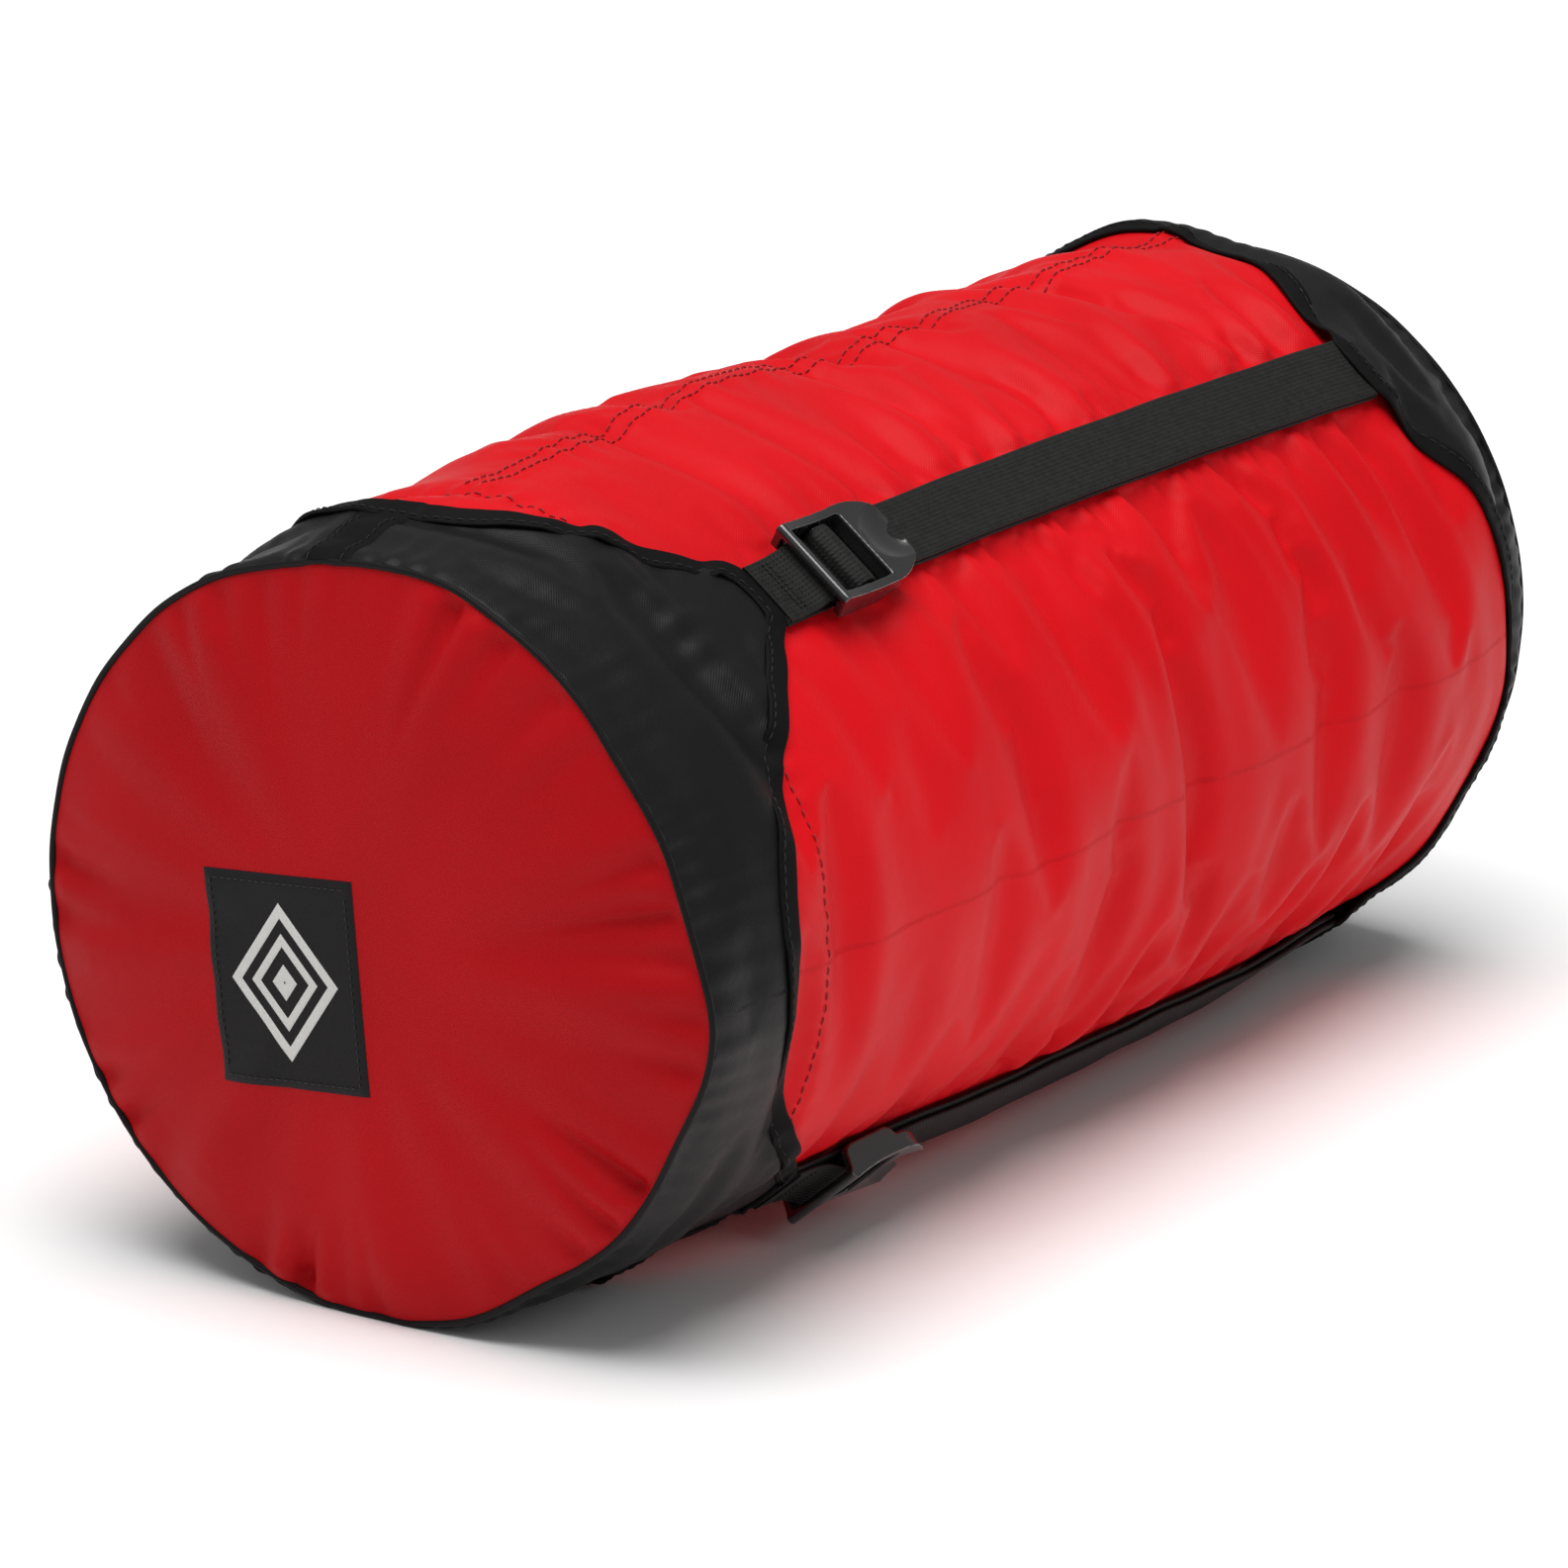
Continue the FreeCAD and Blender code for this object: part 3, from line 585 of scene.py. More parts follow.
def stitches(name, parts, material, body):
    mesh = new_mesh(name, *joined(parts))
    return finish_piece(bpy.data.objects.new(name, mesh), material, body)


# ---- materials ----
class Nodes:
    """A material under construction, with short calls for its nodes."""

    def __init__(self, name, slot):
        self.material = bpy.data.materials.new(name)
        self.material["record_slot"] = slot
        self.material.use_nodes = True
        self.tree = self.material.node_tree
        self.shader = self.tree.nodes["Principled BSDF"]

    def add(self, kind, **sockets):
        node = self.tree.nodes.new(kind)
        for name, value in sockets.items():
            self.put(node, name, value)
        return node

    def feed(self, socket, value):
        """Links the socket to another one, or sets it to a plain value."""
        if isinstance(value, bpy.types.NodeSocket):
            self.tree.links.new(value, socket)
        else:
            socket.default_value = value

    def put(self, node, name, value):
        """Feeds the socket that has this name, with spaces for underlines."""
        self.feed(node.inputs[name.replace("_", " ")], value)

    def surface(self, **sockets):
        for name, value in sockets.items():
            self.put(self.shader, name, value)

    def math(self, operation, a, b=0.0):
        node = self.tree.nodes.new("ShaderNodeMath")
        node.operation = operation
        for socket, value in zip(node.inputs, (a, b)):
            self.feed(socket, value)
        return node.outputs[0]

    def noise(self, vector, scale, detail=2.0):
        node = self.add("ShaderNodeTexNoise", Vector=vector, Scale=scale, Detail=detail)
        return node.outputs["Fac"]

    def place(self):
        return self.add("ShaderNodeTexCoord").outputs["Object"]

    def weave(self):
        return self.add("ShaderNodeUVMap").outputs["UV"]

    def ramp(self, value, dark, light, low=0.3, high=0.7):
        node = self.tree.nodes.new("ShaderNodeValToRGB")
        for stop, position, colour in zip(node.color_ramp.elements, (low, high), (dark, light)):
            stop.position = position
            stop.color = (*colour, 1)
        self.tree.links.new(value, node.inputs[0])
        return node.outputs[0]

    def span(self, value, low, high):
        node = self.add("ShaderNodeMapRange", Value=value, To_Min=low, To_Max=high)
        return node.outputs[0]

    def bump(self, height, distance, strength, under=None):
        node = self.add("ShaderNodeBump", Height=height, Distance=distance, Strength=strength)
        if under is not None:
            self.tree.links.new(under, node.inputs["Normal"])
        return node.outputs[0]


def shade(colour, factor):
    return tuple(min(1.0, c * factor) for c in colour)


def woven(n, pitch):
    """Plain weave: threads over and under each other, laid out by the piece's own lengths."""
    split = n.add("ShaderNodeSeparateXYZ", Vector=n.weave())
    warp = n.math("SINE", n.math("MULTIPLY", split.outputs[0], TURN / pitch))
    weft = n.math("SINE", n.math("MULTIPLY", split.outputs[1], TURN / pitch))
    return n.math("MULTIPLY", warp, weft)


def fabric(name, slot, colour, roughness, crease=0.5, sheen=0.05, pitch=0.9 * MM, shine=0.25):
    """Coated nylon: a fine weave, a little crinkle and faint cloudiness in its colour."""
    n = Nodes(name, slot)
    place = n.place()
    cloud = n.noise(place, 14, 4)
    n.surface(Base_Color=n.ramp(cloud, shade(colour, 0.9), shade(colour, 1.08)))
    n.surface(Roughness=n.span(n.noise(place, 60, 3), roughness - 0.05, roughness + 0.06))
    n.surface(Sheen_Weight=sheen, Sheen_Roughness=0.4, Specular_IOR_Level=shine)
    crinkle = n.bump(n.noise(place, 90, 5), 0.9 * MM, crease)
    n.surface(Normal=n.bump(woven(n, pitch), 0.05 * MM, 0.5, crinkle))
    return n.material


def webbing(colour):
    """Flat nylon webbing: fine lengthwise ribs crossed by the picks, with its colour painted lighter on the
    ribs and darker between them: painted highlight and painted shade.
    """
    n = Nodes("webbing", "webbing")
    split = n.add("ShaderNodeSeparateXYZ", Vector=n.weave())
    along, across = split.outputs[0], split.outputs[1]
    rib = n.math("SINE", n.math("MULTIPLY", across, TURN / (1.25 * MM)))
    shifted = n.math("ADD", n.math("MULTIPLY", along, TURN / (1.5 * MM)), n.math("MULTIPLY", rib, 1.2))
    pick = n.math("SINE", shifted)
    height = n.math("ADD", n.math("MULTIPLY", rib, 0.6), n.math("MULTIPLY", pick, 0.4))
    fleck = n.noise(n.place(), 500, 2)
    # The weave's height lightens the colour on the ribs and darkens it between them (painted highlight and
    # shade); the fleck is random tone.
    fleck_and_painted_rib_shade = n.math("ADD", n.math("MULTIPLY", height, 0.18), fleck)
    n.surface(Base_Color=n.ramp(fleck_and_painted_rib_shade, shade(colour, 0.55), shade(colour, 1.45), 0.25, 0.75))
    n.surface(Roughness=n.span(fleck, 0.55, 0.75))
    n.surface(Sheen_Weight=0.03, Sheen_Roughness=0.35, Specular_IOR_Level=0.22)
    n.surface(Normal=n.bump(height, 0.16 * MM, 0.6))
    return n.material


def plastic():
    """Glossy moulded acetal with a faint moulding grain and handling scuffs."""
    n = Nodes("black_acetal", "black_plastic")
    place = n.place()
    scuff = n.noise(place, 220, 6)
    cloud = n.noise(place, 40, 3)
    n.surface(Base_Color=n.ramp(cloud, (0.010, 0.010, 0.011), (0.018, 0.018, 0.019)))
    n.surface(Roughness=n.span(scuff, 0.12, 0.3))
    n.surface(Specular_IOR_Level=0.9, Coat_Weight=0.4, Coat_Roughness=0.08)
    n.surface(Normal=n.bump(n.noise(place, 700, 3), 0.05 * MM, 0.15))
    return n.material


def thread(name, slot, colour):
    """Bonded thread: two twisted plies show as fine slanting bands, in its bump and in its colour, which is
    painted darker in the grooves between the plies: painted shade.
    """
    n = Nodes(name, slot)
    split = n.add("ShaderNodeSeparateXYZ", Vector=n.place())
    slant = n.math("ADD", n.math("ADD", split.outputs[0], split.outputs[1]), split.outputs[2])
    ply = n.math("SINE", n.math("MULTIPLY", slant, TURN / (0.45 * MM)))
    # Darker where the ply bump is low and lighter where it is high: painted shade and highlight.
    n.surface(Base_Color=n.ramp(ply, shade(colour, 0.6), shade(colour, 1.1), 0.2, 0.8))
    n.surface(Roughness=0.6)
    n.surface(Normal=n.bump(ply, 0.08 * MM, 0.5))
    return n.material


def braid():
    """Braided cord: two sets of slanting strands, with its colour painted darker where the strands dip:
    painted shade.
    """
    n = Nodes("cord_braid", "cord")
    split = n.add("ShaderNodeSeparateXYZ", Vector=n.place())
    up = n.math("MULTIPLY", n.math("ADD", split.outputs[2], split.outputs[0]), TURN / (0.9 * MM))
    side = n.math("MULTIPLY", n.math("SUBTRACT", split.outputs[1], split.outputs[0]), TURN / (0.9 * MM))
    strands = n.math("MULTIPLY", n.math("SINE", up), n.math("SINE", side))
    # Darker where the strands' bump is low and lighter where it is high: painted shade and highlight.
    n.surface(Base_Color=n.ramp(strands, (0.012, 0.012, 0.012), (0.05, 0.05, 0.05)))
    n.surface(Roughness=0.65)
    n.surface(Normal=n.bump(strands, 0.2 * MM, 0.7))
    return n.material


def spring_wire():
    n = Nodes("spring_wire", "spring_steel")
    n.surface(Roughness=n.span(n.noise(n.place(), 900, 2), 0.22, 0.4))
    n.surface(Base_Color=(0.55, 0.55, 0.56, 1), Metallic=1.0)
    return n.material


RED = (0.66, 0.004, 0.009)
RED_FABRIC = fabric("red_nylon", "red_fabric", RED, 0.45, crease=0.3, sheen=0.01, shine=0.1)
# The lid's panel is the body's red nylon, darkened to 0.62 of its colour: painted shade.
LID_FABRIC_PAINTED_SHADE = fabric("lid_red_nylon_painted_shade", "deep_red_fabric", shade(RED, 0.62), 0.55,
                    crease=0.25, sheen=0.01, shine=0.1)
BLACK_FABRIC = fabric("black_nylon", "black_fabric", (0.008, 0.0075, 0.0078), 0.42,
                      sheen=0, shine=0.16)
PIPING_FABRIC = fabric("piping_nylon", "piping", (0.005, 0.004, 0.004), 0.55, shine=0.15)
TAPE = fabric("binding_tape", "binding", (0.004, 0.0035, 0.0035), 0.65, sheen=0, pitch=0.7 * MM, shine=0.1)
LABEL_FABRIC = fabric("label_cloth", "label", (0.010, 0.009, 0.010), 0.6,
                      crease=0.2, pitch=0.6 * MM, shine=0.15)
MOTIF_THREAD = fabric("label_motif_thread", "label", (0.62, 0.62, 0.60), 0.7,
                      crease=0.4, pitch=0.6 * MM)
WEBBING = webbing((0.010, 0.0095, 0.009))
PLASTIC = plastic()
RED_THREAD = thread("dark_red_thread", "red_fabric", (0.46, 0.006, 0.010))
BLACK_THREAD = thread("black_thread", "binding", (0.011, 0.011, 0.011))
BRAID = braid()
WIRE = spring_wire()


# ---- body ----
def shortening(obj):
    """Bakes obj's transform into its mesh."""
    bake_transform(obj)


def body_fabric(skin):
    rows, columns = skin.points.shape[:2]
    s = np.linspace(0, LENGTH, rows)
    start = int(np.searchsorted(s, 4 * MM))
    phi = even_turns(columns)
    uv = uv_grid(SKIN_R * phi[None, :], s[start:, None])
    piece = grid_piece("body_fabric", skin.points[start:] - skin.normal[start:] * 0.1 * MM, RED_FABRIC,
                       None, closed=True, uv=uv)
    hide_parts("body_tube")
    shortening(piece)


def along_skin(skin, s, phi, lift):
    """A path on the skin and which way is out along it."""
    return skin.at(s, phi, lift), skin.out(s, phi)


def body_stitches(skin):
    parts = []
    s = np.linspace(58 * MM, LENGTH - 20 * MM, 500)
    for side in (-2.6, 2.6):
        phi = felled_seam(s) + side * MM / SKIN_R
        parts += stitch_row(*along_skin(skin, s, phi, 0.05 * MM))
    round_phi = np.linspace(0, TURN, 700)
    round_s = MOUTH_STITCH_S + 0.5 * MM * ring_noise(round_phi, 2, 9, 41)
    parts += stitch_row(*along_skin(skin, round_s, round_phi, 0.05 * MM), pitch=3.4 * MM)
    shortening(stitches("body_seam_stitches", parts, RED_THREAD, None))


# ---- scalloped skirts ----
def scallop_depth(phi, corners, middles, strap_s):
    """A skirt's depth at an angle: a rounded corner under each strap and a smooth bay between.

    strap_s is the place along the sack at which the straps' own angles are taken.
    """
    depth = np.zeros_like(phi)
    for place, following, first, last in bays(strap_s):
        centre, half = (first + last) / 2, (last - first) / 2
        off = turn_between(phi, centre)
        corner = corners[place] + (corners[following] - corners[place]) * (off / half + 1) / 2
        middle = middles[place]
        bay = middle + (corner - middle) * (np.abs(off) / (half - CORNER_HALF_ANGLE)) ** 2
        soft = 2.5 * MM
        rounded = corner - soft * np.log1p(np.exp(np.clip((corner - bay) / soft, -40, 40)))
        depth = np.where(np.abs(off) <= half, rounded, depth)
    return depth


def lift_over_strap(phi, s, depth, strap_s, over):
    """A skirt's edge passes over what is sewn in under its corner."""
    beside = off_straps(strap_s, phi)
    return over * np.exp(-(beside / (7 * MM)) ** 2) * np.exp(-((depth - s) / (16 * MM)) ** 2)


def skirt_ripples(phi, s, depth, seed):
    """Fine gathers that run from the seam, and looser ones at the free edge."""
    from_seam = np.exp(-s / (16 * MM)) * ring_noise(phi, 60, 110, seed)
    at_edge = np.exp((s - depth) / (14 * MM)) * ring_noise(phi, 14, 36, seed + 1)
    return 0.22 * MM * from_seam + 0.1 * MM * at_edge


class SkirtShape:
    """One skirt's outline: the lid's, or the bottom's, which is measured from the bottom's seam."""

    def __init__(self, name, binding, corners, middles, at_lid, body, over, seed):
        self.name, self.binding, self.body, self.at_lid, self.seed = name, binding, body, at_lid, seed
        self.corners, self.middles, self.over = corners, middles, over
        self.strap_s = 0.0 if at_lid else STRAP_END

    def depth(self, phi):
        return scallop_depth(phi, self.corners, self.middles, self.strap_s)

    def sack_s(self, s):
        return s if self.at_lid else LENGTH - s

    def lift(self, phi, s, depth):
        return (SKIRT_LIFT + skirt_ripples(phi, s, depth, self.seed)
                + lift_over_strap(phi, s, depth, self.strap_s, self.over))


def skirt(skin, shape):
    rows, columns = 44, 640
    phi = even_turns(columns)[None, :] * np.ones((rows, 1))
    depth = shape.depth(phi)
    s = np.linspace(0, 1, rows)[:, None] * depth + 0.3 * MM
    points = skin.at(shape.sack_s(s), phi, shape.lift(phi, s, depth))
    uv = np.stack([SKIN_R * phi, s], -1)
    piece = grid_piece(shape.name + "_fabric", points, BLACK_FABRIC, shape.body, closed=True, uv=uv,
                       thickness=0.4 * MM, flip=not shape.at_lid)
    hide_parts(shape.name)


def binding_profile():
    """The tape's section: round the skirt's edge and then flat, in from it."""
    width, r = BINDING_WIDTH, BINDING_R
    profile = []
    for i in range(7):
        angle = -pi / 2 + pi * i / 6
        profile.append((r * cos(angle), r * sin(angle)))
    for x in (0.2, 0.4, 0.6, 0.8, 0.97):
        profile.append((-x * width, r * (1 - 0.25 * x)))
    return profile + [(-width, 0.2 * r), (-width, -0.5 * r), (-0.5 * width, -r)]


def edge_tape(skin, shape):
    """Binding folded over a skirt's free edge, with its row of stitches."""
    phi = np.linspace(0, TURN, 1000, endpoint=False)
    depth = shape.depth(phi)
    lift = shape.lift(phi, depth, depth) + 0.1 * MM
    path, out = along_skin(skin, shape.sack_s(depth), phi, lift)
    side = 1 if shape.at_lid else -1
    profile = np.array(binding_profile()) * [side, 1]
    points = swept(path, out, profile, closed_path=True)
    rows = np.concatenate([points, points[:1]])
    uv = uv_grid(run_along(rows[:, 0])[:, None], profile[None, :, 0])
    tape = grid_piece(shape.binding + "_tape", rows, TAPE, shape.body, closed=True, uv=uv,
                      flip=shape.at_lid)
    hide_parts(shape.binding)
    line = swept(path, out, np.array([[-4.4 * MM * side, 0.62 * MM]]), closed_path=True)[:, 0]
    row = stitch_row(line, out, width=0.35 * MM)
    stitches(shape.binding + "_stitches", row, BLACK_THREAD, shape.body)


def skirt_join(skin, shape):
    """The tape that covers the join of the lid's skirt, from the lid's seam to the skirt's edge. Its colour,
    darker than the skirt's, is painted shade along the join.
    """
    half = SKIRT_JOIN_WIDTH / 2
    across = np.linspace(-half, half, 13)
    middle = SKIRT_JOIN_ANGLE + np.linspace(0, 1, 30)[:, None] * radians(1.2)
    phi = middle + across[None, :] / SKIN_R
    depth = shape.depth(phi)
    s = np.linspace(1 * MM, 1, 30)[:, None] * (depth - 5 * MM)
    edge = np.exp(-((half - np.abs(across)) / (0.6 * MM)) ** 2)[None, :]
    lift = shape.lift(phi, s, depth) + (0.45 - 0.4 * edge) * MM
    uv = np.stack([SKIN_R * phi, s], -1)
    # The binding tape here is darker than the skirt: painted shade along the join.
    grid_piece("lid_skirt_join_tape_painted_shade", skin.at(s, phi, lift), TAPE, shape.body, uv=uv, flip=True)
    parts = []
    for column in (2, -3):
        where = (s[:, column], phi[:, column])
        parts += stitch_row(*along_skin(skin, *where, lift[:, column] + 0.05 * MM), width=0.35 * MM)
    stitches("lid_skirt_join_stitches", parts, BLACK_THREAD, shape.body)


def seam_piping(skin, name, at_lid, body):
    columns, sides = 480, 12
    phi = even_turns(columns)
    s = np.full(columns, 0.0 if at_lid else LENGTH)
    seam = skin.at(s, phi)
    radius = np.hypot(seam[:, 0], seam[:, 2] - AXIS_Z)
    wander = 0.06 * MM * ring_noise(phi, 12, 30, 61)
    tucked = np.exp(-(turn_between(phi, TUCK_ANGLE) / TUCK_HALF_WIDTH) ** 4) if at_lid else 0.0
    path = cylinder_points(radius + PIPING_OUT + wander - PIPING_TUCK * tucked, s, phi)
    path[:, 2] = np.maximum(path[:, 2], PIPING_R)
    turn = even_turns(sides)
    ring = PIPING_R * np.stack([np.cos(turn), np.sin(turn)], 1)
    points = swept(path, straight_out(phi), ring, closed_path=True)
    rows = np.concatenate([points, points[:1]])
    round_length = np.append(phi, TURN) * SKIN_R
    uv = uv_grid(round_length[:, None], np.linspace(0, 8 * MM, sides)[None, :])
    piece = grid_piece(name + "_cord", rows, PIPING_FABRIC, body, closed=True, uv=uv, flip=True)
    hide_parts(name)


# ---- round end panels ----
def rim(skin, phi, at_lid):
    s = np.full_like(phi, 0.0 if at_lid else LENGTH)
    return skin.at(s, phi)


def panel_depth(share, phi, bulge, seed):
    """How far a panel stands out: a soft dome whose rim is puckered by its seam.

    The puckers are ridges that start at the rim, each with its own length, strongest at the right.
    """
    dome = bulge * (1 - share ** 4)
    right = 0.45 + 0.55 * np.exp(-(turn_between(phi, radians(5)) / radians(75)) ** 2)
    reach = 0.74 + 0.07 * ring_noise(phi, 7, 19, seed) - 0.1 * right
    near_rim = np.clip((share - reach) / (1 - reach), 0, 1) ** 1.3
    sewn_down = np.clip((1 - share) / 0.045, 0, 1)
    strength = right * np.clip(0.7 + 0.5 * ring_noise(phi, 5, 13, seed + 1), 0.15, 1.7)
    wave = ring_noise(phi + 0.05 * share, 24, 50, seed + 2)
    ridges = wave - 0.35 * np.abs(wave)
    broad = ring_noise(phi - 0.08 * share, 8, 17, seed + 3) * np.clip((share - 0.3) / 0.5, 0, 1)
    dents = DENT_DEPTH * broad * np.clip((1 - share) / 0.14, 0, 1)
    return dome + PUCKER_HEIGHT * strength * ridges * near_rim * sewn_down + dents


def end_panel(skin, name, at_lid, bulge, material, body, seed):
    rows, columns = 90, 480
    phi = even_turns(columns)
    share = np.linspace(0.004, 1, rows)[:, None] ** 0.85
    edge = rim(skin, phi, at_lid)
    flat_x = edge[None, :, 0] * share
    flat_z = AXIS_Z + (edge[None, :, 2] - AXIS_Z) * share
    depth = panel_depth(share * np.ones_like(flat_x), phi[None, :] * np.ones_like(flat_x), bulge, seed)
    y = LID_Y - depth if at_lid else LID_Y + LENGTH + depth
    points = np.stack([flat_x, y, flat_z], -1)
    uv = np.stack([points[..., 0], points[..., 2]], -1)
    piece = grid_piece(name + "_fabric", points, material, body, closed=True, uv=uv, flip=not at_lid)
    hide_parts(name)


def lid_surface_y(x, z, seed):
    """Y of the lid panel's outside, at one place."""
    radius = np.hypot(x, z - AXIS_Z)
    share = np.clip(radius / SKIN_R, 0.004, 1)
    return LID_Y - panel_depth(share, np.arctan2(z - AXIS_Z, x), LID_BULGE, seed)


def on_label(u, v, lift):
    """A point of the label: u to the right and v up, from its middle, both in metres."""
    low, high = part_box("label_patch")
    x = (low.x + high.x) / 2 + u * cos(LABEL_TILT) - v * sin(LABEL_TILT)
    z = (low.z + high.z) / 2 + u * sin(LABEL_TILT) + v * cos(LABEL_TILT)
    return np.stack(np.broadcast_arrays(x, lid_surface_y(x, z, LID_SEED) - lift, z), -1)


def sides(corners):
    """The sides of a closed outline, each as its two ends."""
    return zip(corners, corners[1:] + corners[:1])


def label():
    half_w, half_h = LABEL_WIDTH / 2, LABEL_HEIGHT / 2
    u, v = np.meshgrid(np.linspace(-half_w, half_w, 40), np.linspace(-half_h, half_h, 40))
    from_edge = np.minimum(half_w - np.abs(u), half_h - np.abs(v))
    lift = np.where(from_edge > 1e-9, LABEL_LIFT, 0.1 * MM)
    patch = grid_piece("label_cloth", on_label(u, v, lift), LABEL_FABRIC, "lid", uv=np.stack([u, v], -1))
    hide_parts("label_patch")
    label_lozenges()
    label_stitches(half_w - 2.2 * MM, half_h - 2.2 * MM)


def label_stitches(half_w, half_h):
    corners = [(-half_w, -half_h), (half_w, -half_h), (half_w, half_h), (-half_w, half_h)]
    t = np.linspace(0, 1, 30)
    out = np.tile([0.0, -1.0, 0.0], (30, 1))
    parts = []
    for (u0, v0), (u1, v1) in sides(corners):
        path = on_label(u0 + (u1 - u0) * t, v0 + (v1 - v0) * t, LABEL_LIFT + 0.05 * MM)
        parts += stitch_row(path, out, pitch=2.2 * MM, length=1.6 * MM, width=0.4 * MM)
    stitches("label_stitches", parts, BLACK_THREAD, "lid")


def label_lozenges():
    """The label's motif: plain lozenges inside each other, embroidered."""
    corners = np.array([(1.0, 0.0), (0.0, 1.25), (-1.0, 0.0), (0.0, -1.25)])
    t = np.linspace(0, 1, 16, endpoint=False)[:, None]
    around = np.concatenate([a + (b - a) * t for a, b in zip(corners, np.roll(corners, -1, 0))])
    share = np.linspace(0, 1, 7)[:, None]
    for i, (inner, outer) in enumerate(((13.5, 17), (7.5, 10.5), (0.2, 4))):
        size = inner + (outer - inner) * share
        u, v = around[None, :, 0] * size, around[None, :, 1] * size
        lift = np.where((share == 0) | (share == 1), 0.7, 0.95) * MM * np.ones_like(u)
        points = on_label(u * MM, v * MM, lift)
        grid_piece("label_lozenge_%d" % (i + 1), points, MOTIF_THREAD, "lid", closed=True,
                   uv=np.stack([u, v], -1) * MM, flip=True)


# ---- straps ----
def strap_frame(place, s, w):
    """Points on the strap's own line: s along the sack and w out from the body's surface."""
    s = np.asarray(s, float)
    phi = strap_middle(place, s)
    radius = BODY_R + sag(s, phi)
    step = radians(3)
    slope = (sag(s, phi + step) - sag(s, phi - step)) / (2 * step)
    out = np.stack([radius * np.cos(phi) + slope * np.sin(phi), 0 * phi,
                    radius * np.sin(phi) - slope * np.cos(phi)], 1)
    out /= np.linalg.norm(out, axis=1, keepdims=True)
    return cylinder_points(radius, s, phi) + out * np.asarray(w)[:, None], out


def strap_sway(s, seed):
    return 0.12 * MM * line_noise(s, 30 * MM, 80 * MM, seed)


def smooth_path(points, per_span=12):
    """Catmull-Rom through (s, w) points."""
    before = 2 * np.array(points[0]) - points[1]
    after = 2 * np.array(points[-1]) - points[-2]
    p = np.array([before, *points, after], float)
    t = np.linspace(0, 1, per_span, endpoint=False)[:, None]
    spans = []
    for a, b, c, d in zip(p, p[1:], p[2:], p[3:]):
        spans.append(0.5 * (2 * b + (c - a) * t + (2 * a - 5 * b + 4 * c - d) * t ** 2
                            + (3 * b - a - 3 * c + d) * t ** 3))
    return np.concatenate([*spans, p[-2][None]])


def straight_strap_frame(place, line):
    """As strap_frame, for a short run that keeps the CAD strap's own angle, near the ladder lock."""
    s, w = line[:, 0], line[:, 1]
    phi = np.full(len(s), STRAPS[place])
    return cylinder_points(BODY_R + w, s, phi), straight_out(phi)


def in_plane_out(path, radial):
    """The side of a run of webbing that faces out, when the run turns over a bar."""
    along = np.gradient(path, axis=0)
    along /= np.linalg.norm(along, axis=1, keepdims=True)
    across = np.cross(np.array([0.0, 1.0, 0.0]), radial[0])
    return np.cross(across, along)


def lock_run(place, marks):
    """A run of webbing round a ladder lock's bars, through (u, w) marks in mm from its hinge bar."""
    line = smooth_path(marks) * MM + (LOCK_AT[place], 0)
    path, radial = straight_strap_frame(place, line)
    return path, in_plane_out(path, radial)


def load_strap(place, seed):
    s = np.linspace(LOCK_AT[place] + 7 * MM, STRAP_END + 3.5 * MM, 140)
    path, out = strap_frame(place, s, 1.1 * MM + strap_sway(s, seed))
    piece = web_piece("load_strap_web_" + place, path, out, None)
    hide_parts("load_strap_" + place)
    shortening(piece)


def strap_tail(place, seed):
    start = LOCK_AT[place] + 17 * MM
    s = np.linspace(start, STRAP_END + 3 * MM, 140)
    near_lock = np.exp(-(s - start) / (14 * MM))
    path, out = strap_frame(place, s, 3.1 * MM + 0.35 * MM * near_lock + strap_sway(s, seed))
    piece = web_piece("strap_tail_web_" + place, path, out, None)
    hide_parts("strap_tail_" + place)
    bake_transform(piece)


def strap_turn(place):
    """The strap's turn over the grip bar, between the loaded run and the tail."""
    marks = [(4.5, 1.2), (6.6, 1.9), (7.3, 4.2), (8.3, 6.9), (11.3, 8.2), (14.3, 6.9), (15.3, 4.8),
             (17.2, 3.5), (20.5, 3.3)]
    path, out = lock_run(place, marks)
    piece = web_piece("strap_turn_web_" + place, path, out, "lock_" + place)
    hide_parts("strap_bight_" + place)


def lock_web(place):
    """The short doubled webbing that comes out from under the skirt's corner, round a lock's hinge bar."""
    marks = [(-19.5, 2.5), (-12, 2.9), (-7, 3.9), (-3.2, 5.9), (-0.2, 7.1), (2.2, 6.3), (2.9, 4.4),
             (2.1, 2.5), (0, 1.6), (-4, 1.35), (-10, 1.2), (-19.5, 0.9)]
    path, out = lock_run(place, marks)
    piece = web_piece("lock_loop_web_" + place, path, out, "lid", width=19.6 * MM, thick=1.3 * MM)
    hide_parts("lock_web_" + place)
    bar_tacks(place)


def bar_tacks(place):
    """Two rows of dense stitches across the lock's webbing."""
    across = np.linspace(-8.5 * MM, 8.5 * MM, 20)
    parts = []
    for low, high in (((-13.2, 3.5), (-12.6, 3.5)), ((-11.4, 3.65), (-10.8, 3.7))):
        top, up = lock_run(place, [low, high])
        side = np.cross(np.array([0.0, 1.0, 0.0]), up[0])
        row = top[0][None] + side[None] * across[:, None]
        out = np.tile(up[0], (len(across), 1))
        parts += stitch_row(row, out, pitch=1.5 * MM, length=1.3 * MM, width=0.5 * MM)
    stitches("bar_tack_" + place, parts, BLACK_THREAD, "lid")


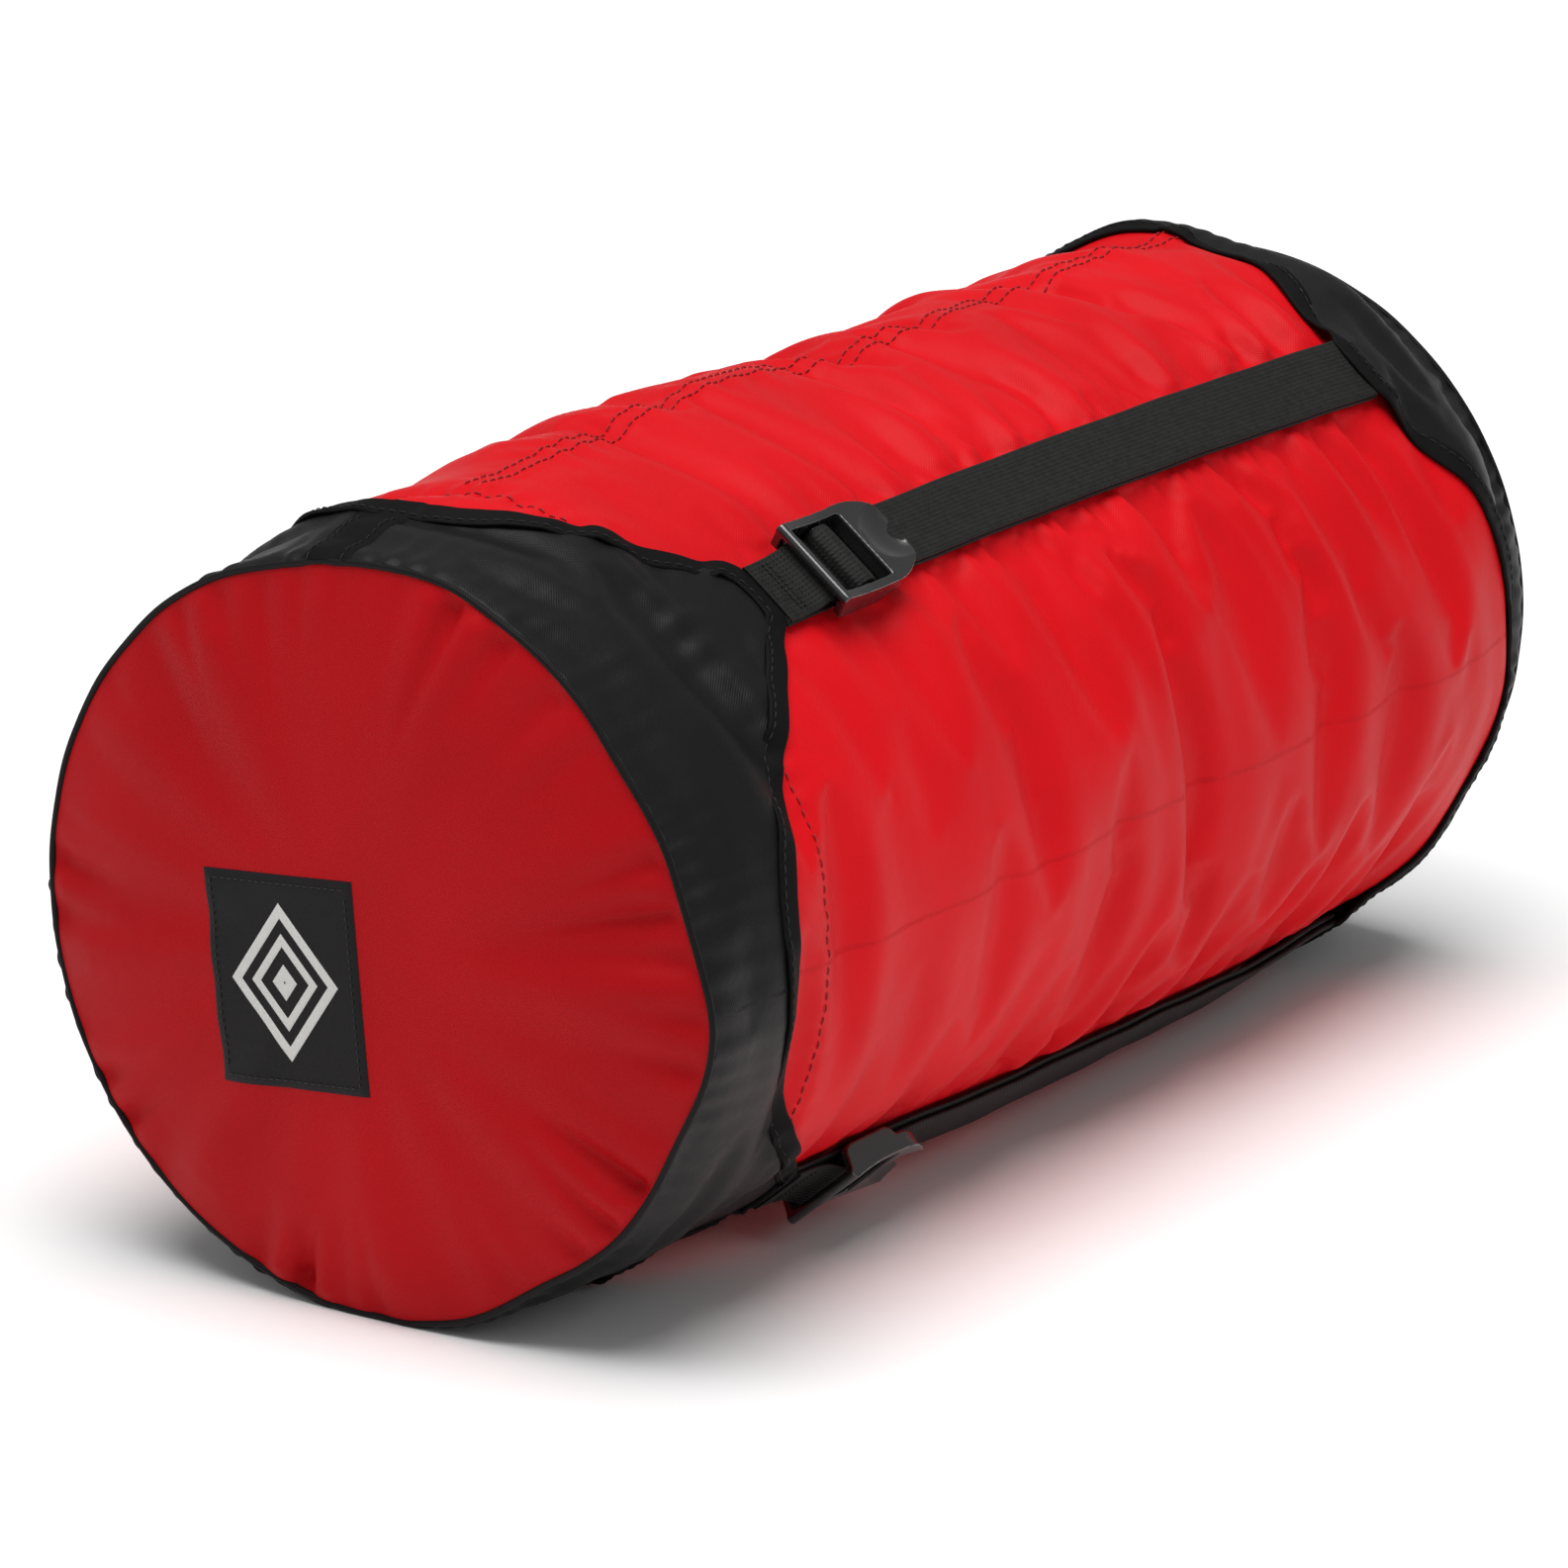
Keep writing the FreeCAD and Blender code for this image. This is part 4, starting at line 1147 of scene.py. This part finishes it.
def rounded_lock(place):
    """The ladder lock with its mould's rounded edges, from the frame's own solid."""
    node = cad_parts["ladder_lock_" + place]
    obj = bpy.data.objects.new("ladder_lock_body_" + place, node.data.copy())
    finish_piece(obj, PLASTIC, "lock_" + place)
    remesh = obj.modifiers.new("Remesh", "REMESH")
    remesh.mode = "VOXEL"
    remesh.voxel_size = 0.3 * MM
    smooth = obj.modifiers.new("Smooth", "SMOOTH")
    smooth.factor = 0.5
    smooth.iterations = 7
    applied(obj)
    paint(obj, PLASTIC)
    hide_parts("ladder_lock_" + place)


# ---- mouth ----
def collar_line(share):
    """(radius, s) of the gathered mouth, from the body's edge in to the hem."""
    marks = [(98.0, 11.0), (92.0, 8.3), (80.0, 8.0), (62.0, 10.2), (44.0, 10.6), (31.0, 7.6), (26.0, 4.2)]
    line = smooth_path(marks) * MM
    run = np.linspace(0, 1, len(line))
    return np.interp(share, run, line[:, 0]), np.interp(share, run, line[:, 1])


def mouth_collar():
    rows, columns = 60, 720
    phi = even_turns(columns)
    share = np.linspace(0, 1, rows)[:, None]
    radius, s = collar_line(share * np.ones((1, columns)))
    pleats = np.cos(34 * phi + 1.4 * ring_noise(phi, 3, 9, 81))[None, :]
    depth = (0.3 + 1.9 * share) * MM * np.sin(pi * np.clip(share, 0, 1) ** 0.7)
    s = s + pleats * depth
    points = cylinder_points(radius, s, phi[None, :] * np.ones_like(radius))
    uv = uv_grid(phi[None, :] * 60 * MM, share * 80 * MM)
    piece = grid_piece("mouth_fabric", points, RED_FABRIC, "mouth", closed=True, uv=uv, thickness=0.5 * MM)
    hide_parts("mouth_collar")
    mouth_hem()


def mouth_hem():
    """The drawcord's channel: a tube of gathered cloth, open where the cord comes out."""
    hem_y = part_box("mouth_collar")[0].y + 3.4 * MM
    gap = asin(5.9 * MM / HEM_RING_R)
    phi = np.linspace(pi / 2 + gap, pi / 2 + TURN - gap, 420)
    gathers = 0.45 * MM * np.cos(38 * phi + 1.2 * ring_noise(phi, 3, 9, 83))
    out = straight_out(phi)
    path = out * HEM_RING_R + (0, hem_y, AXIS_Z)
    turn = even_turns(14)
    profile = np.stack([np.cos(turn), np.sin(turn)], 1) * HEM_TUBE_R
    points = swept(path, out, profile)
    points = points + (points - path[:, None]) * (gathers / HEM_TUBE_R)[:, None, None]
    uv = uv_grid(phi[:, None] * HEM_RING_R, turn[None, :] * HEM_TUBE_R)
    grid_piece("mouth_hem", points, RED_FABRIC, "mouth", closed=True, uv=uv, flip=True)


# ---- haul handle ----
def haul_handle():
    low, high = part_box("haul_handle")
    half = (high.x - low.x) / 2
    rise = high.y - low.y - WEB_THICK
    right = [(0.55 * half, 0.78 * rise), (half, 0.8 * MM), (half + 6 * MM, -0.2 * MM),
             (half + 18 * MM, -0.9 * MM)]
    left = [(-x, out) for x, out in reversed(right)]
    line = smooth_path([*left, (0, rise), *right])
    path = np.stack([line[:, 0], low.y + line[:, 1] + WEB_THICK / 2, np.full(len(line), AXIS_Z)], 1)
    along = np.gradient(path, axis=0)
    out = np.cross(np.array([0.0, 0.0, 1.0]), along)
    out /= -np.linalg.norm(out, axis=1, keepdims=True)
    middle = np.abs(line[:, 0]) <= half + 1 * MM
    arch = web_piece("haul_handle_web", path[middle], out[middle], "handle")
    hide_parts("haul_handle")
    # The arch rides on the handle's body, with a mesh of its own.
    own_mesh(arch)
    handle_feet(half)


def handle_feet(half):
    """The handle's two sewn ends."""
    for name, side in (("left", -1), ("right", 1)):
        x = side * np.linspace(half - 0.5 * MM, half + 19.5 * MM, 24)
        phi = np.where(x > 0, 0.0, pi)
        y = LID_Y + LENGTH + panel_depth(np.abs(x) / SKIN_R, phi, BOTTOM_BULGE, BOTTOM_SEED)
        path = np.stack([x, y + 1.0 * MM, np.full_like(x, AXIS_Z)], 1)
        foot = web_piece("handle_foot_" + name, path, np.tile([0.0, 1.0, 0.0], (24, 1)), "sack")
        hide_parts("haul_handle_feet")
        foot_stitches(name, side, path)


def foot_stitches(name, side, path):
    """A box of stitches, crossed by its diagonals."""
    x = np.abs(path[:, 0])
    inner, outer, z = x[3], x[-4], 9 * MM
    corners = [(inner, -z), (outer, -z), (outer, z), (inner, z)]
    lines = [*sides(corners), (corners[0], corners[2]), (corners[1], corners[3])]
    t = np.linspace(0, 1, 12)
    out = np.tile([0.0, 1.0, 0.0], (12, 1))
    parts = []
    for (x0, z0), (x1, z1) in lines:
        across = x0 + (x1 - x0) * t
        y = np.interp(across, x, path[:, 1]) + 0.85 * MM
        row = np.stack([side * across, y, AXIS_Z + z0 + (z1 - z0) * t], 1)
        parts += stitch_row(row, out, pitch=2.4 * MM, length=1.9 * MM, width=0.5 * MM)
    stitches("handle_foot_stitches_" + name, parts, BLACK_THREAD, "sack")


# ---- carried-over CAD nodes ----
def dress_cad_nodes():
    for name, material in (("drawcord", BRAID), ("cord_lock_barrel", PLASTIC),
                           ("cord_lock_plunger", PLASTIC), ("cord_lock_spring", WIRE)):
        paint(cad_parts[name], material)


# ---- room ----
CAMERA_AZIMUTH, CAMERA_ELEVATION = radians(33.594), radians(16.988)
CAMERA_DISTANCE = 2.8694
CAMERA_LENS, CAMERA_SENSOR = 243.6, 36.0        # in millimetres
CAMERA_SHIFT = (-0.0287, -0.0271)


def room():
    bpy.ops.mesh.primitive_plane_add(size=14, location=(0, 0, 0))
    floor = bpy.context.object
    floor.name = "floor"
    n = Nodes("floor_paint", "label")
    n.surface(Base_Color=n.ramp(n.noise(n.place(), 2), (0.95, 0.95, 0.95), (0.98, 0.98, 0.98)))
    n.surface(Roughness=0.9)
    floor.data.materials.append(n.material)
    world = bpy.data.worlds.new("studio")
    world.use_nodes = True
    background = world.node_tree.nodes["Background"]
    background.inputs["Color"].default_value = (1, 1, 1, 1)
    background.inputs["Strength"].default_value = 0.27
    bpy.context.scene.world = world
    bpy.context.scene.view_settings.view_transform = "Standard"


def show(name, data):
    """Puts a light or a camera in the scene."""
    obj = bpy.data.objects.new(name, data)
    bpy.context.scene.collection.objects.link(obj)
    return obj


def soft_box(name, place, size, power):
    data = bpy.data.lights.new(name, "AREA")
    data.energy = power
    data.size = size
    lamp = show(name, data)
    lamp.location = place
    aim = Vector((0, 0, AXIS_Z))
    lamp.rotation_euler = (aim - Vector(place)).to_track_quat("-Z", "Y").to_euler()


def lights():
    data = bpy.data.lights.new("overhead", "SUN")
    data.energy = 2.9
    data.angle = radians(50)
    overhead = show("overhead", data)
    overhead.rotation_euler = Vector((0.05, -0.12, 1.0)).to_track_quat("Z", "Y").to_euler()
    soft_box("right_box", (1.5, -0.2, 1.1), 0.7, 1.8)
    soft_box("left_fill", (-1.7, -1.0, 0.8), 1.2, 2.5)


def camera():
    data = bpy.data.cameras.new("photo_camera")
    data.lens = CAMERA_LENS
    data.sensor_width = CAMERA_SENSOR
    data.shift_x, data.shift_y = CAMERA_SHIFT
    data.clip_end = 50
    cam = show("photo_camera", data)
    round_cos = cos(CAMERA_ELEVATION)
    back = Vector((sin(CAMERA_AZIMUTH) * round_cos, -cos(CAMERA_AZIMUTH) * round_cos, sin(CAMERA_ELEVATION)))
    middle = Vector((0, LID_Y + LENGTH / 2, AXIS_Z))
    cam.location = middle + back * CAMERA_DISTANCE
    cam.rotation_euler = (-back).to_track_quat("-Z", "Y").to_euler()
    bpy.context.scene.camera = cam


def build():
    skin = Skin(stuffed_skin())
    body_fabric(skin)
    body_stitches(skin)
    lid_shape = SkirtShape("lid_skirt", "lid_edge_binding", LID_CORNERS, LID_MIDDLES, True, "lid",
                           over=1.3 * MM, seed=31)
    bottom_shape = SkirtShape("bottom_skirt", "bottom_edge_binding", BOTTOM_CORNERS, BOTTOM_MIDDLES, False,
                              "sack", over=3.6 * MM, seed=33)
    for shape in (lid_shape, bottom_shape):
        skirt(skin, shape)
        edge_tape(skin, shape)
    skirt_join(skin, lid_shape)
    seam_piping(skin, "lid_piping", True, "lid")
    end_panel(skin, "lid_panel", True, LID_BULGE, LID_FABRIC_PAINTED_SHADE, "lid", LID_SEED)
    label()
    seam_piping(skin, "bottom_piping", False, "sack")
    end_panel(skin, "bottom_panel", False, BOTTOM_BULGE, BLACK_FABRIC, "sack", BOTTOM_SEED)
    for i, place in enumerate(STRAPS):
        load_strap(place, 50 + i)
        strap_tail(place, 50 + i)
        strap_turn(place)
        lock_web(place)
        rounded_lock(place)
    mouth_collar()
    haul_handle()
    dress_cad_nodes()


camera()
room()
lights()
build()
